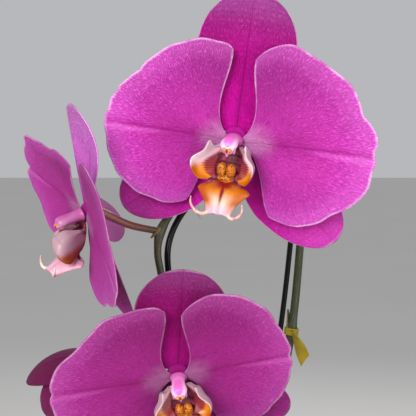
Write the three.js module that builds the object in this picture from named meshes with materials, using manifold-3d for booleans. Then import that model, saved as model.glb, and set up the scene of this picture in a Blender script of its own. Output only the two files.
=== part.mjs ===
// A potted moth orchid: one flower spike trained over an arched wire, with five open blooms and three
// buds, thick strap leaves, aerial roots, bark in a clear liner and a plain glazed pot.
// Millimetres. +Z is up, and the origin is the centre of the pot's foot, on the surface it stands on.
// The large bloom faces -Y.
import * as THREE from 'three';
import { mergeVertices } from 'three/addons/utils/BufferGeometryUtils.js';
import Module from 'manifold-3d';

const wasm = await Module();
wasm.setup();

// Driving dimensions

const CLEARANCE = 0.35; // left between two pieces that touch

const POT = { height: 118, footRadius: 48, topRadius: 66, wall: 4.5, floor: 6, rimRound: 2.2, facets: 26 };
const LINER = { top: 112, footRadius: 40.5, topRadius: 57, wall: 1.3, lip: 2.4, facets: 20 };
const DRAIN = { count: 5, radius: 4, out: 25 };
const BARK = {
  top: 91, crest: 101.3, chips: 18, chipLong: 27, chipWide: 17, chipThick: 6, rise: 6, facets: 20,
};
const CROWN = { foot: 80, top: 141, radius: 8.5, tipRadius: 5.5 };
const ROOT = { radius: 2.7, sides: 5, lift: 104.5 };

// Each leaf: compass angle in degrees from +X towards +Y, height of its base on the crown, length and
// width, and the elevation at which it leaves the crown and at which its tip ends.
const LEAVES = [
  { name: 'leaf_1', turn: -22, base: 112, length: 246, width: 84, rise: 30, tip: -46 },
  { name: 'leaf_2', turn: 160, base: 114, length: 258, width: 88, rise: 31, tip: -44 },
  { name: 'leaf_3', turn: -6, base: 122, length: 226, width: 80, rise: 50, tip: -30 },
  { name: 'leaf_4', turn: 174, base: 125, length: 214, width: 77, rise: 53, tip: -24 },
  { name: 'leaf_5', turn: -34, base: 133, length: 142, width: 58, rise: 72, tip: 8 },
];
const LEAF = { thickness: 2.2, foldAtBase: 38, foldAtTip: 12, rows: 10, columns: 4 };

// The flower spike: the route of its centre line from the crown, up, over the arch and down again.
const SPIKE_ROUTE = [
  [6.5, 10.5, 118], [8, 14.5, 150], [4, 16, 220], [-3, 17, 300], [-5, 17, 350], [-3, 16.5, 395],
  [0.3, 16, 421], [6, 15, 455], [9, 13, 488], [10, 7, 515], [7, -8, 540], [-1, -28, 556],
  [-10, -44, 560], [-18, -56, 556], [-28, -65, 545], [-40, -72, 530], [-49.4, -77, 518],
  [-54, -80, 510], [-55, -81, 502], [-53.8, -81, 494], [-51, -78.5, 478], [-49, -75, 460],
  [-48, -72, 440], [-45, -70.5, 415], [-41, -69, 390], [-37, -66, 368], [-34, -63, 350],
];
const SPIKE = { baseRadius: 2.7, midRadius: 1.9, tipRadius: 1.1, steps: 54, sides: 6, swelling: 0.6 };

// The bent wire stands in the bark and follows the inner side of the arch.
const WIRE_ROUTE = [
  [-3, 25, 48], [-3, 25, 118], [-4, 23, 160], [-5.5, 20, 220], [-9, 18, 300], [-10, 17.5, 350],
  [-8, 17, 395], [-4.6, 16.5, 421], [0.5, 15.2, 455], [4, 12, 488], [5.2, 5.4, 510],
  [3, -7.5, 532.5], [-3.2, -26, 549], [-11, -41.5, 554.5], [-18, -52, 551], [-26, -60.2, 541.5],
  [-37, -67, 526.8], [-45.4, -73.6, 517], [-49.2, -76.8, 510], [-51, -78.6, 503],
  [-50.9, -77.9, 494.6], [-48.9, -75, 480], [-47.4, -72.5, 470],
];
const WIRE = { radius: 1.3, steps: 45, sides: 6 };

// Clips hold the spike to the wire: how far along the spike, and where each stands off.
const CLIPS = [
  { name: 'clip_low', spikeAt: 0.235 },
  { name: 'clip_arch', spikeAt: 0.61 },
  { name: 'clip_high', spikeAt: 0.745 },
];
const CLIP = { height: 5, wall: 1.3, prong: 8 };

const TAG = { centre: [6, 15, 453], height: 6.6, loopHeight: 3.4, length: 15.5, thickness: 0.7, lean: 23 };

// The form of one full-size bloom, in its own frame: +X to its right as seen from the front, +Y to the
// top sepal, +Z forward out of its face.
const PETAL = { reach: 50, lower: 68, claw: 0.065, layer: 1.3, rows: 4, columns: 10 };
const TOP_SEPAL = { length: 56, halfWidth: 20, baseHalf: 7, widestAt: 0.64, swell: 1.6, blunt: 0.5 };
const SIDE_SEPAL = { length: 51.5, halfWidth: 14.5, baseHalf: 4.5, widestAt: 0.5, swell: 1, blunt: 0.45 };
const TEPAL = { thickness: 0.9, sepalLayer: -1.3, rows: 4, columns: 4 };
const HUB = { radius: 5, back: -3.4, front: 2.2 };
const COLUMN = { length: 11.5, halfWide: 2.8, halfThick: 2.2, lift: 0.5, sides: 6 };
const LIP = {
  thickness: 0.8, midFoot: -14.6, drop: 3.6, midLength: 13.5, midHalf: 10.3, waistHalf: 6, tipHalf: 4.6,
};
// Where a side lobe of the lip grows and where its rim runs, from the back to the front.
const LOBE_ROOT = [[2.5, -1.8, 3.2], [4.4, -5.5, 5], [4.8, -9.5, 7.6], [4, -12.8, 10.2]];
const LOBE_RIM = [
  [4, -1.2, 5], [5.8, -1.6, 8], [7.5, 0.8, 10.4], [8.9, -2.8, 12.4], [12.2, -6, 14.2],
  [12.4, -9.8, 14.4], [10.2, -13.6, 12.8], [6, -14, 11.4],
];
const LOBE_BULGE = 2.6;

// Each bloom: hub centre, the way it faces and its turn in its own plane, and its size and its lip's.
// Then, for its left and right petal as seen from the front: how far each lies above the level, its size
// against a full-size one, how much of its upper lobe is taken away and given to its lower lobe, how far
// its upper lobe spreads in degrees, how far it reaches forward, and the swellings of its rim. A swelling
// is its place from the lower lobe (-1) to the upper lobe (1), its width, and its height as a share of
// the petal's length.
// The top sepal has a direction, a size, a width for that size, and a distance that its tip comes forward.
// Then how far below the level the side sepals point, how far the whole bloom is still closed, how far
// the lip's side lobes close over its throat, how far each spreads against a full spread, how far the lip
// and column turn to the right and how far the middle lobe hangs. Last, where on the spike its stalk
// leaves, and how far that stalk bows up.
const BLOOMS = [
  {
    name: 'bloom_1', centre: [-24.4, -98, 547.2], faces: [-0.13, -0.965, -0.21], roll: 8.2,
    size: 1, lipSize: 1, petals: [2, 2.5], petalSize: [0.99, 1.06], slope: [0, 0], upper: [80, 80],
    cup: [4, 4],
    rims: [
      [[-0.38, 0.2, 0.06], [0.02, 0.2, 0.04], [0.5, 0.2, -0.022], [1.02, 0.1, 0.1]],
      [[-0.25, 0.22, 0.068], [0.65, 0.22, -0.045]],
    ],
    top: 90, topSize: 1, topWidth: 1, hood: 0,
    sides: [40, 40], closed: 0, gather: 0, lobes: [1.04, 0.84], lipTurn: -6, droop: 50, node: 0.683, bow: 2,
  },
  {
    name: 'bloom_2', centre: [-82.2, -92, 518.5], faces: [-0.855, -0.436, -0.28], roll: 14,
    size: 0.85, lipSize: 0.95, petals: [-10, -12], petalSize: [1, 1], slope: [0, 0], upper: [80, 80],
    cup: [10, 15], rims: [[[0.6, 0.2, 0.1]], []], top: 90, topSize: 0.88, topWidth: 0.78, hood: 6,
    sides: [40, 72], closed: 0, gather: 0.85, lobes: [0.2, 1.1], lipTurn: 0, droop: 0, node: 0.772,
    bow: -3.5,
  },
  {
    name: 'bloom_3', centre: [-46.3, -101, 456.5], faces: [0.06, -0.91, -0.42], roll: -12,
    size: 0.93, lipSize: 0.93, petals: [5.5, 4.5], petalSize: [1.08, 0.97], slope: [0.1, 0],
    upper: [86, 72], cup: [5, 5],
    rims: [
      [[0.4, 0.26, -0.095], [1.02, 0.16, 0.1]],
      [[0.5, 0.32, 0.085]],
    ],
    top: 76, topSize: 0.8, topWidth: 1.2, hood: 0,
    sides: [40, 40], closed: 0, gather: 0.15, lobes: [1, 1], lipTurn: 0, droop: 40, node: 0.826, bow: 0,
  },
  {
    name: 'bloom_4', centre: [-74.4, -52, 446.3], faces: [-0.75, 0.3, -0.55], roll: 35,
    size: 0.84, lipSize: 0.62, petals: [0, 0], petalSize: [1, 1], slope: [0, 0], upper: [80, 80],
    cup: [0, 0], rims: [[], []], top: 90, topSize: 0.82, topWidth: 1, hood: 0,
    sides: [40, 40], closed: 125, gather: 0, lobes: [1, 1], lipTurn: 0, droop: 0, node: 0.868, bow: 2,
  },
  {
    name: 'bloom_5', centre: [-22, -94, 385], faces: [0.3, -0.86, -0.4], roll: 6,
    size: 0.86, lipSize: 0.88, petals: [3, 3], petalSize: [1, 1], slope: [0, 0], upper: [80, 80],
    cup: [10, 10], rims: [[], []], top: 90, topSize: 1, topWidth: 1, hood: 0,
    sides: [40, 40], closed: 12, gather: 0, lobes: [1, 1], lipTurn: 0, droop: 30, node: 0.908, bow: 0,
  },
];
const BUDS = [
  { name: 'bud_1', node: 0.942, tip: [-62, -72, 368], length: 21, radius: 7.6 },
  { name: 'bud_2', node: 0.97, tip: [-20, -70, 352], length: 16, radius: 5.8 },
  { name: 'bud_3', node: 1, tip: [-38, -58, 329], length: 11.5, radius: 4.1 },
];

// Materials

const finish = (color, roughness, extra = {}) =>
  new THREE.MeshStandardMaterial({ color, roughness, metalness: 0, ...extra });

const MATERIALS = {
  tepals: () => finish(0xc53aa8, 0.55),
  lip: () => finish(0xd8892a, 0.45),
  column: () => finish(0xf2a9dc, 0.4),
  spike: () => finish(0x56603f, 0.55),
  bud: () => finish(0x8d6a6c, 0.5),
  leaf: () => finish(0x2f5a2a, 0.35),
  crown: () => finish(0x7f8f74, 0.75),
  bark: () => finish(0x6a4630, 0.9),
  liner: () => finish(0xcfd6d2, 0.25, { transparent: true, opacity: 0.4 }),
  pot: () => finish(0xe9e6df, 0.2),
  wire: () => finish(0x2b2a2c, 0.4),
  clip: () => finish(0xdadcd8, 0.25, { transparent: true, opacity: 0.55 }),
  tag: () => finish(0xc2ad12, 0.5),
};

// Closed solids from grids and rings

const radians = THREE.MathUtils.degToRad;
const vector = (x, y, z) => new THREE.Vector3(x, y, z);
const mix = (a, b, share) => a + (b - a) * share;

/** An indexed geometry from points and triangles, turned so that its faces point out. */
function closedGeometry(points, triangles) {
  let sixVolumes = 0;
  const cross = vector(0, 0, 0);
  for (const [a, b, c] of triangles) sixVolumes += points[a].dot(cross.crossVectors(points[b], points[c]));
  const outward = sixVolumes < 0 ? triangles.map(([a, b, c]) => [a, c, b]) : triangles;
  const geometry = new THREE.BufferGeometry();
  const flat = points.flatMap((p) => [p.x, p.y, p.z]);
  geometry.setAttribute('position', new THREE.Float32BufferAttribute(flat, 3));
  geometry.setIndex(outward.flat());
  return geometry;
}

/**
 * A closed blade. pointAt(u, v) gives its middle surface, with u and v from 0 to 1, and half the
 * thickness goes to each side. Both faces are split into triangles alike.
 */
function blade(rows, columns, thickness, pointAt) {
  const middle = [];
  for (let i = 0; i <= rows; i++) {
    for (let j = 0; j <= columns; j++) middle.push(pointAt(i / rows, j / columns));
  }
  const at = (i, j) => i * (columns + 1) + j;
  const normals = middle.map((_, index) => {
    const i = Math.floor(index / (columns + 1));
    const j = index % (columns + 1);
    const along = middle[at(Math.min(i + 1, rows), j)].clone().sub(middle[at(Math.max(i - 1, 0), j)]);
    const across = middle[at(i, Math.min(j + 1, columns))].clone().sub(middle[at(i, Math.max(j - 1, 0))]);
    return along.cross(across).normalize();
  });
  const half = thickness / 2;
  const front = middle.map((p, index) => p.clone().addScaledVector(normals[index], half));
  const back = middle.map((p, index) => p.clone().addScaledVector(normals[index], -half));
  const under = middle.length;
  const triangles = [];
  for (let i = 0; i < rows; i++) {
    for (let j = 0; j < columns; j++) {
      const [a, b, c, d] = [at(i, j), at(i + 1, j), at(i + 1, j + 1), at(i, j + 1)];
      triangles.push([a, b, c], [a, c, d]);
      triangles.push([a + under, c + under, b + under], [a + under, d + under, c + under]);
    }
  }
  const wall = (p, q) => triangles.push([q, p, p + under], [q, p + under, q + under]);
  for (let j = 0; j < columns; j++) {
    wall(at(0, j + 1), at(0, j));
    wall(at(rows, j), at(rows, j + 1));
  }
  for (let i = 0; i < rows; i++) {
    wall(at(i, 0), at(i + 1, 0));
    wall(at(i + 1, columns), at(i, columns));
  }
  return closedGeometry([...front, ...back], triangles);
}

/** A closed solid through rings that all hold the same number of points. */
function loft(rings) {
  const sides = rings[0].length;
  const points = rings.flat();
  const triangles = [];
  for (let i = 0; i < rings.length - 1; i++) {
    for (let j = 0; j < sides; j++) {
      const next = (j + 1) % sides;
      const [a, b] = [i * sides + j, i * sides + next];
      triangles.push([a, a + sides, b + sides], [a, b + sides, b]);
    }
  }
  const last = (rings.length - 1) * sides;
  for (let j = 1; j < sides - 1; j++) triangles.push([0, j, j + 1], [last, last + j + 1, last + j]);
  return closedGeometry(points, triangles);
}

/** A tube along a curve, whose radius may change along it and whose ends are closed. */
function tube(curve, steps, sides, radiusAt, first = 0, last = 1) {
  const frames = curve.computeFrenetFrames(steps, false);
  const rings = [];
  for (let i = Math.ceil(first * steps); i <= Math.floor(last * steps); i++) {
    const centre = curve.getPointAt(i / steps);
    const radius = radiusAt(i / steps);
    rings.push(Array.from({ length: sides }, (_, j) => {
      const angle = (2 * Math.PI * j) / sides;
      return centre.clone()
        .addScaledVector(frames.normals[i], radius * Math.cos(angle))
        .addScaledVector(frames.binormals[i], radius * Math.sin(angle));
    }));
  }
  return loft(rings);
}

const curveThrough = (route) =>
  new THREE.CatmullRomCurve3(route.map((p) => vector(...p)), false, 'centripetal');

/** Turns a closed geometry into a solid that can be joined and cut. */
function solidOf(geometry) {
  const bare = geometry.clone();
  bare.deleteAttribute('normal');
  bare.deleteAttribute('uv');
  const merged = mergeVertices(bare, 1e-4);
  return new wasm.Manifold(new wasm.Mesh({
    numProp: 3,
    vertProperties: Float32Array.from(merged.attributes.position.array),
    triVerts: Uint32Array.from(merged.index.array),
  }));
}

function geometryOf(solid) {
  const mesh = solid.getMesh();
  const geometry = new THREE.BufferGeometry();
  geometry.setAttribute('position', new THREE.BufferAttribute(mesh.vertProperties, 3));
  geometry.setIndex(new THREE.BufferAttribute(mesh.triVerts, 1));
  return geometry;
}

const joined = (geometries) =>
  geometryOf(geometries.map(solidOf).reduce((whole, piece) => whole.add(piece)));

/** An ellipsoid with the given half-sizes. */
function ellipsoid(centre, halfX, halfY, halfZ, around = 8, down = 5) {
  return new THREE.SphereGeometry(1, around, down).scale(halfX, halfY, halfZ).translate(...centre);
}

/** A repeatable stream of numbers from 0 to 1. */
function seededNumbers(seed) {
  let state = seed;
  return () => {
    state = (Math.imul(state, 1664525) + 1013904223) >>> 0;
    return state / 4294967296;
  };
}

const plant = new THREE.Group();

function addMesh(parent, name, geometry, material) {
  const mesh = new THREE.Mesh(geometry, material);
  mesh.name = name;
  parent.add(mesh);
  return mesh;
}

// Blooms

/**
 * Bends a flat tepal forward round the bloom's face. A full petal length turns by the angle closed, and
 * what lies in layers stays in layers.
 */
function bent(radius, angle, height, closed) {
  if (!closed) return vector(radius * Math.cos(angle), radius * Math.sin(angle), height);
  const bendRadius = PETAL.reach / radians(closed);
  const turn = radius / bendRadius;
  const out = (bendRadius - height) * Math.sin(turn);
  const rise = bendRadius - (bendRadius - height) * Math.cos(turn);
  return vector(out * Math.cos(angle), out * Math.sin(angle), rise);
}

/** A petal spreads like a fan from its claw: v runs from the lower lobe (-1) to the upper lobe (1). */
function petalPoint(u, v, side, bloom) {
  const t = Math.abs(v);
  const which = side < 0 ? 0 : 1;
  const slope = bloom.slope[which];
  const plain = v > 0 ? 1 - (0.16 + slope) * t - 0.23 * t ** 8 : 1 - (0.22 - slope) * t - 0.17 * t ** 6;
  const outline = bloom.rims[which].reduce(
    (sum, [at, width, height]) => sum + height * Math.exp(-(((v - at) / width) ** 2)), plain);
  const reach = PETAL.reach * bloom.petalSize[which] * outline;
  const share = mix(PETAL.claw, 1, u);
  const radius = reach * share;
  const span = radians(v > 0 ? bloom.upper[which] : PETAL.lower);
  const level = radians(bloom.petals[which]);
  const angle = level + v * span * (1 - 0.8 * (1 - share) ** 2);
  const forward = (Math.tan(radians(bloom.cup[which])) * radius ** 2) / (radius + 12);
  const rollBack = 2.2 * share ** 3 * t ** 2;
  const wave = 0.7 * share ** 3 * Math.sin(5 * v + side);
  const point = bent(radius, angle, PETAL.layer + forward - rollBack + wave, bloom.closed);
  return point.setX(side * point.x);
}

/** A sepal: an even swell from its base to its widest row, and half an ellipse from there to its tip. */
function sepalPoint(u, v, sepal, { direction, size, width, hood }, closed) {
  const widest = sepal.widestAt;
  const w = 2 * v - 1;
  let across;
  let along;
  if (u <= widest) {
    across = w * mix(sepal.baseHalf, sepal.halfWidth, Math.sin((Math.PI / 2) * (u / widest)) ** sepal.swell);
    along = u * sepal.length;
  } else {
    const q = (u - widest) / (1 - widest);
    across = w * sepal.halfWidth * Math.sqrt(1 - q ** 2 * (1 - sepal.blunt ** 2));
    along = sepal.length * (widest + (1 - widest) * q * Math.sqrt(1 - (sepal.blunt * w) ** 2));
  }
  across *= width;
  along += 3;
  const backward = -0.045 * along - 0.0009 * along ** 2;
  const gutter = 1.5 * (across / sepal.halfWidth) ** 2;
  const place = along / sepal.length;
  const forward = hood * (1.2 * place ** 4 - 0.7 * Math.sin(Math.PI * Math.min(1, place)) +
    0.3 * w ** 2 * Math.sin(Math.PI * u));
  return bent(
    Math.hypot(along, across) * size,
    radians(direction) - Math.atan2(across, along),
    TEPAL.sepalLayer + backward + gutter + forward,
    closed,
  );
}

function tepals(bloom) {
  const spread = (v) => 0.5 * (2 * v - 1) + 0.5 * Math.sin((2 * v - 1) * (Math.PI / 2));
  const petals = [-1, 1].map((side) =>
    blade(PETAL.rows, PETAL.columns, TEPAL.thickness, (u, v) => petalPoint(u, spread(v), side, bloom)));
  const sepals = [
    [TOP_SEPAL, { direction: bloom.top, size: bloom.topSize, width: bloom.topWidth, hood: bloom.hood }],
    [SIDE_SEPAL, { direction: 180 + bloom.sides[0], size: 1, width: 1, hood: 0 }],
    [SIDE_SEPAL, { direction: -bloom.sides[1], size: 1, width: 1, hood: 0 }],
  ].map(([sepal, pose]) => blade(TEPAL.rows, TEPAL.columns, TEPAL.thickness, (u, v) =>
    sepalPoint(u, v, sepal, pose, bloom.closed)));
  const hubHalf = (HUB.front - HUB.back) / 2;
  const hub = ellipsoid([0, 0, HUB.front - hubHalf], HUB.radius, HUB.radius, hubHalf, 8, 5);
  return joined([hub, ...petals, ...sepals]);
}

/** The column: a short arm forward over the lip, with the rounded cap of the anther at its tip. */
function column() {
  const start = HUB.front + CLEARANCE;
  const rings = [0, 0.15, 0.5, 0.84, 1].map((share, index) => {
    const fullness = [0.75, 0.92, 0.92, 1.06, 0.55][index];
    return Array.from({ length: COLUMN.sides }, (_, j) => {
      const angle = (2 * Math.PI * j) / COLUMN.sides;
      const arch = COLUMN.lift + 0.9 * Math.sin(Math.PI * share) - 0.9 * share ** 3;
      return vector(
        COLUMN.halfWide * fullness * Math.cos(angle),
        COLUMN.halfThick * fullness * Math.sin(angle) + arch,
        start + COLUMN.length * share,
      );
    });
  });
  const cap = ellipsoid([0, COLUMN.lift - 2.1, start + COLUMN.length - 2], 2.1, 1.6, 2, 6, 3);
  return joined([loft(rings), cap]);
}

const lobeRoot = curveThrough(LOBE_ROOT);
const lobeRim = curveThrough(LOBE_RIM);

/**
 * A side lobe of the lip: an ear that bulges outward between its root (r = 0) and its rim (r = 1), with
 * s from back to front. A gathered lip has its rims drawn in towards each other.
 */
function sideLobePoint(s, r, side, spread, gather) {
  const rim = lobeRim.getPointAt(s);
  rim.x *= (1 - 0.8 * gather * Math.sin(Math.PI * s)) * spread;
  rim.y += (1.5 * s + 0.9 * Math.sin(Math.PI * s ** 0.4)) * gather;
  rim.z += (4.6 * spread * Math.sin(Math.PI * s ** 0.7) + s) * gather;
  const point = lobeRoot.getPointAt(s).lerp(rim, r);
  point.y -= LIP.drop * gather;
  point.z -= s * gather;
  const swell = Math.sin(Math.PI * r) * Math.sin(Math.PI * (0.12 + 0.8 * s));
  const bulge = LOBE_BULGE * (1 + 1.2 * gather) * swell;
  return vector(side * (point.x + spread * bulge), point.y, point.z - (0.5 - 1.4 * gather) * bulge);
}

/** The middle lobe: an arrowhead that hangs forward, creased along its middle. */
function middleLobePoint(u, v, droop, gather) {
  const widths = [7, 9, LIP.midHalf, 8.4, LIP.waistHalf, 5, LIP.tipHalf];
  const place = u * (widths.length - 1);
  const low = Math.min(Math.floor(place), widths.length - 2);
  const half = mix(widths[low], widths[low + 1], place - low);
  const w = 2 * v - 1;
  const bend = radians(droop) * (0.55 + 0.45 * u);
  const along = LIP.midLength * u;
  const swept = -1.8 * w ** 2 * Math.sin(Math.PI * Math.min(1, u * 1.4));
  const crown = 1.5 - 2.4 * w ** 2 - 0.8 * Math.exp(-((w / 0.16) ** 2));
  const forward = along + swept;
  return vector(
    half * w,
    LIP.midFoot - LIP.drop * gather - forward * Math.sin(bend) + (crown - 1) * Math.cos(bend),
    9.6 - 1.5 * gather + forward * Math.cos(bend) + (crown - 1) * Math.sin(bend),
  );
}

/** The lip: claw, two side lobes, callus, middle lobe and the two tendrils at its tip. */
function lip({ droop, gather, lobes }) {
  const claw = loft([[-3.8, 1.95], [-8, 5.4], [-13.6, 9.4], [-15.6, 11.4]].map(([high, deep], index) => {
    const half = [2.2, 4.6, 5, 4][index];
    const y = high - (LIP.drop * gather * index) / 3;
    const z = deep - (1.5 * gather * index) / 3;
    return [[-half, 0.4], [0, -0.5], [half, 0.4], [half, 1.5], [0, 0.7], [-half, 1.5]]
      .map(([x, lift]) => vector(x, y + lift * 0.55, z + lift * 0.8));
  }));
  const ears = [-1, 1].map((side) =>
    blade(6, 3, LIP.thickness, (s, r) => sideLobePoint(s, r, side, lobes[side < 0 ? 0 : 1], gather)));
  const middle = blade(6, 4, LIP.thickness, (u, v) => middleLobePoint(u, v, droop, gather));
  const knob = [1.75, -9.6 - LIP.drop * gather, 10.2 - gather];
  const callus = [-1, 1].map((side) => ellipsoid([side * knob[0], knob[1], knob[2]], 1.9, 2.7, 2.3, 5, 3));
  const bend = radians(droop);
  const up = vector(0, Math.cos(bend), Math.sin(bend));
  const forward = vector(0, -Math.sin(bend), Math.cos(bend));
  const tendrils = [-1, 1].map((side) => {
    const root = middleLobePoint(0.94, 0.5 + side * 0.4, droop, gather);
    const reach = 1 - 0.5 * gather;
    const station = ([out, rise, ahead]) => root.clone().add(vector(side * out * reach, 0, 0))
      .addScaledVector(up, rise * reach).addScaledVector(forward, ahead * reach).toArray();
    const moves = [[0, 0, 0], [1.6, 0.6, 1.4], [4.2, 2.6, 1.6], [6, 5.6, 0.2], [6, 8.4, -1.4]];
    return tube(curveThrough(moves.map(station)), 5, 3, (share) => mix(0.7, 0.42, share));
  });
  return joined([claw, ...ears, middle, ...callus, ...tendrils]);
}

/** The turn that carries a bloom's own frame into the plant's, from where it faces and its roll. */
function facing(faces, roll) {
  const forward = vector(...faces).normalize();
  const right = vector(0, 0, 1).cross(forward).normalize();
  const up = forward.clone().cross(right);
  const angle = radians(roll);
  const turnedRight = right.clone().multiplyScalar(Math.cos(angle)).addScaledVector(up, -Math.sin(angle));
  const turnedUp = up.clone().multiplyScalar(Math.cos(angle)).addScaledVector(right, Math.sin(angle));
  return new THREE.Matrix4().makeBasis(turnedRight, turnedUp, forward);
}

for (const bloom of BLOOMS) {
  const group = new THREE.Group();
  group.position.set(...bloom.centre);
  group.quaternion.setFromRotationMatrix(facing(bloom.faces, bloom.roll));
  const sized = (geometry, size) =>
    geometry.scale(size, size, size).translate(0, 0, HUB.front * (bloom.size - size));
  addMesh(group, `${bloom.name}_tepals`, sized(tepals(bloom), bloom.size), MATERIALS.tepals());
  const turned = lip(bloom).rotateY(radians(bloom.lipTurn));
  addMesh(group, `${bloom.name}_lip`, sized(turned, bloom.lipSize), MATERIALS.lip());
  const arm = column().rotateY(radians(bloom.lipTurn));
  addMesh(group, `${bloom.name}_column`, sized(arm, bloom.lipSize), MATERIALS.column());
  plant.add(group);
}

// Flower spike with its flower stalks and bracts

const spikeCurve = curveThrough(SPIKE_ROUTE);
const wireCurve = curveThrough(WIRE_ROUTE);
const SPIKE_NODES = [...BLOOMS.map((bloom) => bloom.node), ...BUDS.map((bud) => bud.node)];
const STEM_NODES = [0.07, 0.2, 0.34, 0.47];

function spikeRadius(share) {
  const taper = share < 0.55
    ? mix(SPIKE.baseRadius, SPIKE.midRadius, share / 0.55)
    : mix(SPIKE.midRadius, SPIKE.tipRadius, (share - 0.55) / 0.45);
  const swelling = [...SPIKE_NODES, ...STEM_NODES]
    .reduce((sum, node) => sum + SPIKE.swelling * Math.exp(-(((share - node) / 0.006) ** 2)), 0);
  return taper + Math.min(swelling, SPIKE.swelling);
}

/** A stalk from a point on the spike to the end point, which it reaches along the end direction. */
function stalk(node, end, endDirection, startRadius, endRadius, bow) {
  const root = spikeCurve.getPointAt(Math.min(node, 0.995));
  const approach = end.clone().addScaledVector(endDirection, -0.16 * root.distanceTo(end));
  const middle = root.clone().lerp(approach, 0.5).add(vector(0, 0, bow));
  const route = new THREE.CatmullRomCurve3([root, middle, approach, end], false, 'centripetal');
  return tube(route, 5, 5, (share) => mix(startRadius, endRadius, share ** 2));
}

/** A small boat-shaped scale that clasps the stem at a node. */
function bract(node, length, reach) {
  const share = Math.min(node, 0.99);
  const centre = spikeCurve.getPointAt(share);
  const along = spikeCurve.getTangentAt(share);
  const out = reach.clone().addScaledVector(along, -reach.dot(along)).normalize();
  const across = along.clone().cross(out);
  const radius = spikeRadius(share);
  return blade(2, 2, 0.8, (u, v) => {
    const angle = (v - 0.5) * 2.2 * (1 - 0.75 * u);
    const stand = radius - 0.15 + 0.9 * u;
    return centre.clone()
      .addScaledVector(along, -1 + length * u)
      .addScaledVector(out, stand * Math.cos(angle))
      .addScaledVector(across, stand * Math.sin(angle));
  });
}

const bloomStalks = BLOOMS.map((bloom) => {
  const forward = vector(...bloom.faces).normalize();
  const end = vector(...bloom.centre).addScaledVector(forward, bloom.size * HUB.back - CLEARANCE);
  return stalk(bloom.node, end, forward, 1.45, 2 * bloom.size, bloom.bow);
});

const budDirections = BUDS.map((bud) => {
  const root = spikeCurve.getPointAt(Math.min(bud.node, 0.995));
  return vector(...bud.tip).sub(root).normalize();
});
const budStalks = BUDS.map((bud, index) => {
  const base = vector(...bud.tip).addScaledVector(budDirections[index], -bud.length - CLEARANCE);
  return stalk(bud.node, base, budDirections[index], 1, 1.1, 0);
});
const bracts = [
  ...STEM_NODES.map((node, index) => bract(node, 11, vector(index % 2 ? -1 : 1, 0.4, 0))),
  ...BLOOMS.slice(0, 3).map(({ node, centre }) =>
    bract(node, 5, vector(...centre).sub(spikeCurve.getPointAt(node)))),
];
addMesh(plant, 'flower_spike', joined([
  tube(spikeCurve, SPIKE.steps, SPIKE.sides, spikeRadius),
  ...bloomStalks,
  ...budStalks,
  ...bracts,
]), MATERIALS.spike());

/** A bud: an egg with a blunt point, seamed where the closed sepals meet. */
function budGeometry(bud, direction) {
  const sides = 6;
  const right = vector(0, 0, 1).cross(direction).normalize();
  const up = direction.clone().cross(right);
  const rings = [0.02, 0.14, 0.36, 0.6, 0.82, 0.97].map((share) => Array.from({ length: sides }, (_, j) => {
    const angle = (2 * Math.PI * j) / sides;
    const seam = 1 - (j % 2 === 0 ? 0.06 : 0);
    const radius = bud.radius * seam * Math.sin(Math.PI * share ** 0.85) ** 0.62;
    return vector(...bud.tip)
      .addScaledVector(direction, bud.length * (share - 1))
      .addScaledVector(right, radius * Math.cos(angle))
      .addScaledVector(up, radius * Math.sin(angle));
  }));
  return loft(rings);
}
BUDS.forEach((bud, index) =>
  addMesh(plant, bud.name, budGeometry(bud, budDirections[index]), MATERIALS.bud()));

// Wire, clips and tag

addMesh(plant, 'support_wire', tube(wireCurve, WIRE.steps, WIRE.sides, () => WIRE.radius), MATERIALS.wire());

/** The parameter of the point of a curve that lies nearest to a given point. */
function nearestOn(curve, point) {
  let best = 0;
  let shortest = Infinity;
  for (let i = 0; i <= 800; i++) {
    const distance = curve.getPointAt(i / 800).distanceTo(point);
    if (distance < shortest) [shortest, best] = [distance, i / 800];
  }
  return best;
}

/** A clip: a round-ended block with one hole for the spike, one for the wire, and a finger prong. */
function clip({ spikeAt }) {
  const stemPoint = spikeCurve.getPointAt(spikeAt);
  const wirePoint = wireCurve.getPointAt(nearestOn(wireCurve, stemPoint));
  const along = spikeCurve.getTangentAt(spikeAt);
  const toWire = wirePoint.clone().sub(stemPoint);
  toWire.addScaledVector(along, -toWire.dot(along));
  const gap = toWire.length();
  toWire.normalize();
  const across = along.clone().cross(toWire);
  const stemOuter = spikeRadius(spikeAt) + CLEARANCE + CLIP.wall;
  const wireOuter = WIRE.radius + CLEARANCE + CLIP.wall;
  const outline = [];
  for (let i = 0; i <= 6; i++) {
    const angle = Math.PI / 2 + (Math.PI * i) / 6;
    outline.push([stemOuter * Math.cos(angle), stemOuter * Math.sin(angle)]);
  }
  for (let i = 0; i <= 6; i++) {
    const angle = -Math.PI / 2 + (Math.PI * i) / 6;
    outline.push([gap + wireOuter * Math.cos(angle), wireOuter * Math.sin(angle)]);
  }
  const place = ([x, y], lift) => stemPoint.clone()
    .addScaledVector(toWire, x).addScaledVector(across, y).addScaledVector(along, lift);
  const block = loft([-0.5, 0.5].map((end) => outline.map((p) => place(p, end * CLIP.height))));
  const prongRoot = gap + wireOuter - 0.8;
  const prong = loft([[0, 1.1], [0.55, 0.75], [1, 0.5]].map(([share, half]) =>
    [[-1, -1], [1, -1], [1, 1], [-1, 1]].map(([i, j]) =>
      place([prongRoot + CLIP.prong * share, half * i], half * j + 1.6 * share))));
  const bore = (curve, steps, sides, radiusAt) => {
    const centre = nearestOn(curve, stemPoint);
    const reach = 3 / steps;
    const wider = (share) => radiusAt(share) + CLEARANCE;
    return solidOf(tube(curve, steps, sides, wider, centre - reach, centre + reach));
  };
  return geometryOf(solidOf(block).add(solidOf(prong))
    .subtract(bore(spikeCurve, SPIKE.steps, SPIKE.sides, spikeRadius))
    .subtract(bore(wireCurve, WIRE.steps, WIRE.sides, () => WIRE.radius)));
}
CLIPS.forEach((one) => addMesh(plant, one.name, clip(one), MATERIALS.clip()));

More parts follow.
